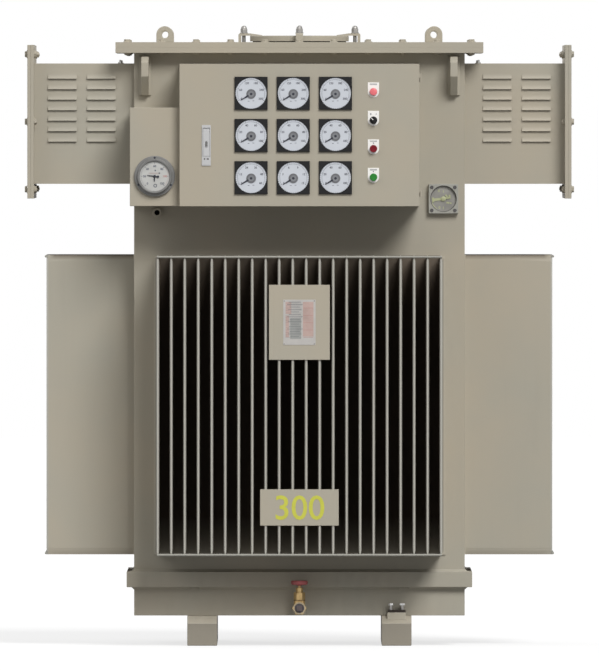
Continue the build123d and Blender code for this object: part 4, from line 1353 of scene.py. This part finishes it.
def earthTerminal():
    low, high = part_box("earth_pad")
    x, y, _ = middle("earth_pad")
    across, along = earth["barInset"]
    block = bar(high.x - low.x - across, high.y - low.y - along, earth["barHeight"], earth["barEdge"])
    single("earthBar", block, onTop(x, y, high.z), barBrown, "regulator")
    foot = high.z + earth["barHeight"]
    top = foot + earth["rise"]
    shank = stub(earth["shank"], earth["rise"], roundness["shank"])
    washer = disc(earth["washer"], 0, earth["washerHeight"], roundness["screw"])
    head = prism(hexagon, *earth["head"])
    studs, heads = bmesh.new(), bmesh.new()
    for u, turn in zip((-earth["spread"] / 2, earth["spread"] / 2), earth["headTurns"]):
        stamp(studs, shank, onTop(x + u, y, foot))
        stamp(heads, washer, onTop(x + u, y, top - earth["washerHeight"]))
        stamp(heads, head, onTop(x + u, y, top, turn))
    keep("earthStuds", studs, zinc, "regulator")
    keep("earthBolts", heads, brightPlate, "regulator")


# a black lining, painted shade inside the socket's bore
borePaintedShade = ((0, -0.0330), (0.0088, -0.0330), (0.0088, -0.0015))  # radius, and height from the socket's face


def socketLining():  # painted shade: a black lining inside the open test socket
    x, _, z = middle("test_socket")
    place = facing(x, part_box("test_socket")[0].y, z)
    single("socketLining", turned(borePaintedShade, roundness["knob"]), place, blackSealAndPaintedShade, "regulator")


sealStrip = {"width": 0.010, "inset": 0.0035, "short": 0.0025, "edge": 0.001}


def doorSeal():  # a rubber strip inside the door, in front of the box's lip
    low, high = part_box("control_door")
    x, _, z = middle("control_door")
    width, edge = sealStrip["width"], sealStrip["edge"]
    depth = high.y - low.y - 2 * sealStrip["short"]
    across = high.x - low.x - 2 * sealStrip["inset"]
    tall = high.z - low.z - 2 * sealStrip["inset"]
    face = facing(x, high.y - sealStrip["short"], z)
    bm = bmesh.new()
    for side in (-1, 1):
        stamp(bm, bar(across, width, depth, edge), shifted(face, 0, side * (tall - width) / 2))
        stamp(bm, bar(width, tall - 2 * width, depth, edge), shifted(face, side * (across - width) / 2, 0))
    keep("doorSeal", bm, blackSealAndPaintedShade, "door")


handleDetail = {
    "bottomStop": (0.0022, 0.010, 0.011),  # height, depth, and how far behind the lever's face it starts
    "topStop": (0.0012, 0.009, 0.0095),
    "bottomGap": 0.0007,
    "topGap": 0.003,
    "catch": ((-0.0058, 0.0046), (0.0048, 0.0076)),  # place and width of each mark
    "catchHeight": 0.0080,
    "catchDrop": 0.0110,
    "lock": ((0.0042, 0.0480), (0.0030, 0.0555)),  # radius, and how far below the lever's top
    "lift": 0.0003,
}


def handleMarks():  # stops that fill the ends of the tray, the keyhole's rim and the catch below the lever
    low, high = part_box("handle_lever")
    x = middle("handle_lever").x
    width = high.x - low.x
    front = low.y
    lift = handleDetail["lift"]
    stops, marks, lock = bmesh.new(), bmesh.new(), bmesh.new()
    bottom = low.z - handleDetail["bottomGap"]
    top = high.z + handleDetail["topGap"]
    for key, edge in (("bottomStop", bottom), ("topStop", top)):
        tall, deep, behind = handleDetail[key]
        stamp(stops, bar(width, tall, deep), facing(x, front + behind, edge - tall / 2))
    keep("handleStops", stops, handleGrey, "door")
    for u, wide in handleDetail["catch"]:
        catch = bar(wide, handleDetail["catchHeight"], lift)
        stamp(marks, catch, facing(x + u, front, low.z - handleDetail["catchDrop"]))
    keep("handleCatch", marks, screwGrey, "door")
    for radius, drop in handleDetail["lock"]:
        stamp(lock, stub(radius, lift), facing(x, front, high.z - drop))
    keep("handleLock", lock, gaugeGrey, frame["nodes"]["handle_lever"]["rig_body"])


wheel = {
    "inner": 0.0215,
    "depth": 0.0140,
    "innerRise": 0.002,
    "lowerEdge": ((0.0035, 0), (0.0015, 0.001), (0, 0.007)),  # inside the rim, above its foot
    "upperEdge": ((0, 0.003), (0.0015, 0), (0.0045, 0)),  # inside the rim, below its top
    "innerDrop": 0.003,
}
valve = {
    "seamZ": 0.151,
    "seam": (0.010, 0.0197, 0.0024),  # inner and outer radius, height
    "plugHead": (0.0172, 0.0172, 0.0008, 0.0003),
    "plugSunk": 0.0003,
    "ring": (0.0170, 0.0198, 0.0006),
}


def valveDetail():  # the wheel's deep rim, the seam under the bonnet, the plug's square and the ring round it
    low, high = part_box("valve_handwheel")
    x, y, _ = middle("valve_handwheel")
    outer = (high.x - low.x) / 2
    foot = high.z - wheel["depth"]
    start = (wheel["inner"], foot + wheel["innerRise"])
    lower = [(outer - inset, foot + rise) for inset, rise in wheel["lowerEdge"]]
    upper = [(outer - inset, high.z - drop) for inset, drop in wheel["upperEdge"]]
    rim = turned([start, *lower, *upper, (wheel["inner"], high.z - wheel["innerDrop"]), start])
    body = frame["nodes"]["valve_handwheel"]["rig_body"]
    single("wheelRim", rim, onTop(x, y, 0), wheelRed, body)
    seam = hoop(*valve["seam"], roundness["ring"])
    single("valveSeam", seam, onTop(x, y, valve["seamZ"]), seamBrown, "regulator")
    x, _, z = middle("drain_plug")
    plugFace = facing(x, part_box("drain_plug")[0].y + valve["plugSunk"], z)
    single("plugHead", bar(*valve["plugHead"]), plugFace, plugGrey, "regulator")
    outlet = facing(x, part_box("drain_valve_body")[0].y, z)
    single("outletRing", hoop(*valve["ring"]), outlet, paleBrass, "regulator")


earthTerminal()
socketLining()
doorSeal()
handleMarks()
valveDetail()
print("earth terminal, socket, door seal, handle and valve done")


# floor, light and camera

stage = {
    "floorSize": 60.0,
    "floorDrop": 0.0005,
    "floorTone": 0.30,
    "floorRough": 0.9,
    "floorGlow": 0.74,
    "ambient": 0.30,
    "lights": {  # the way each light travels, its strength and its spread in degrees
        "keyLight": ((-0.46, 1.0, -0.90), 2.61, 26.0),
        "fillLight": ((1.0, 0.80, -0.80), 0.45, 40.0),
        "backLight": ((0.50, -1.0, -0.60), 0.80, 25.0),
    },
}


def grey(tone):
    return shade(tone, tone, tone)


def brighter(wire, plain, seen):  # one colour for light, another for the camera, mirrors and glass
    path = wire.node("ShaderNodeLightPath")
    names = ("Is Camera Ray", "Is Glossy Ray", "Is Transmission Ray")
    camera, mirror, glass = [Wire(path.tree, path.socket.node.outputs[name]) for name in names]
    colours = {0: camera + mirror + glass, 6: grey(plain), 7: grey(seen)}
    return wire.node("ShaderNodeMix", {"data_type": "RGBA"}, colours, out=2)


def studio():
    bm = bmesh.new()
    bmesh.ops.create_grid(bm, x_segments=1, y_segments=1, size=stage["floorSize"])
    mesh = toMesh(bm)
    floor = bpy.data.objects.new("floor", mesh)
    floor.location.z = cadBox[0][2] - stage["floorDrop"]
    bpy.context.scene.collection.objects.link(floor)
    finish = Finish("floorWhite", gloss=0.0)
    finish.feed(Base_Color=grey(stage["floorTone"]), Roughness=stage["floorRough"])
    finish.feed(Emission_Color=brighter(finish.coords, 0, stage["floorGlow"]), Emission_Strength=1.0)
    mesh.materials.append(finish.material)
    world = bpy.data.worlds.new("studio")
    world.use_nodes = True
    bpy.context.scene.world = world
    sky = next(n for n in world.node_tree.nodes if n.type == "BACKGROUND")
    root = Wire(world.node_tree)
    root.feed(sky.inputs["Color"], brighter(root, stage["ambient"], 1))
    for name, (along, strength, spread) in stage["lights"].items():
        lamp = bpy.data.lights.new(name, "SUN")
        lamp.energy = strength
        lamp.angle = math.radians(spread)
        holder = bpy.data.objects.new(name, lamp)
        holder.rotation_euler = Vector((0, 0, -1)).rotation_difference(Vector(along)).to_euler()
        bpy.context.scene.collection.objects.link(holder)


photo = {
    "width": 599,
    "height": 671,
    "middleX": 299.4,  # pixel column of the tank's middle
    "floorRow": 646.0,  # pixel row of the floor
    "metresPerPixel": 0.0033416,
    "distance": 92.0,
    "eyeLevel": 1.75,
    "planeY": -0.55,  # the depth that keeps the scale
    "sensor": 12.0,
}


def frontCamera():
    camera = bpy.data.cameras.new("frontCamera")
    camera.sensor_width = photo["sensor"]
    camera.lens = photo["sensor"] * photo["distance"] / photo["metresPerPixel"] / photo["height"]
    camera.clip_end = 2 * photo["distance"]
    holder = bpy.data.objects.new("frontCamera", camera)
    x = (photo["width"] / 2 - photo["middleX"]) * photo["metresPerPixel"]
    z = (photo["floorRow"] - photo["height"] / 2) * photo["metresPerPixel"]
    fall = photo["eyeLevel"] - z
    back = math.sqrt(photo["distance"] ** 2 - fall ** 2)
    holder.location = (x, photo["planeY"] - back, photo["eyeLevel"])
    holder.rotation_euler = (math.radians(90) - math.asin(fall / photo["distance"]), 0, 0)
    bpy.context.scene.collection.objects.link(holder)
    bpy.context.scene.camera = holder
    bpy.context.scene.view_settings.view_transform = "Standard"


studio()
frontCamera()
print("studio and camera done")
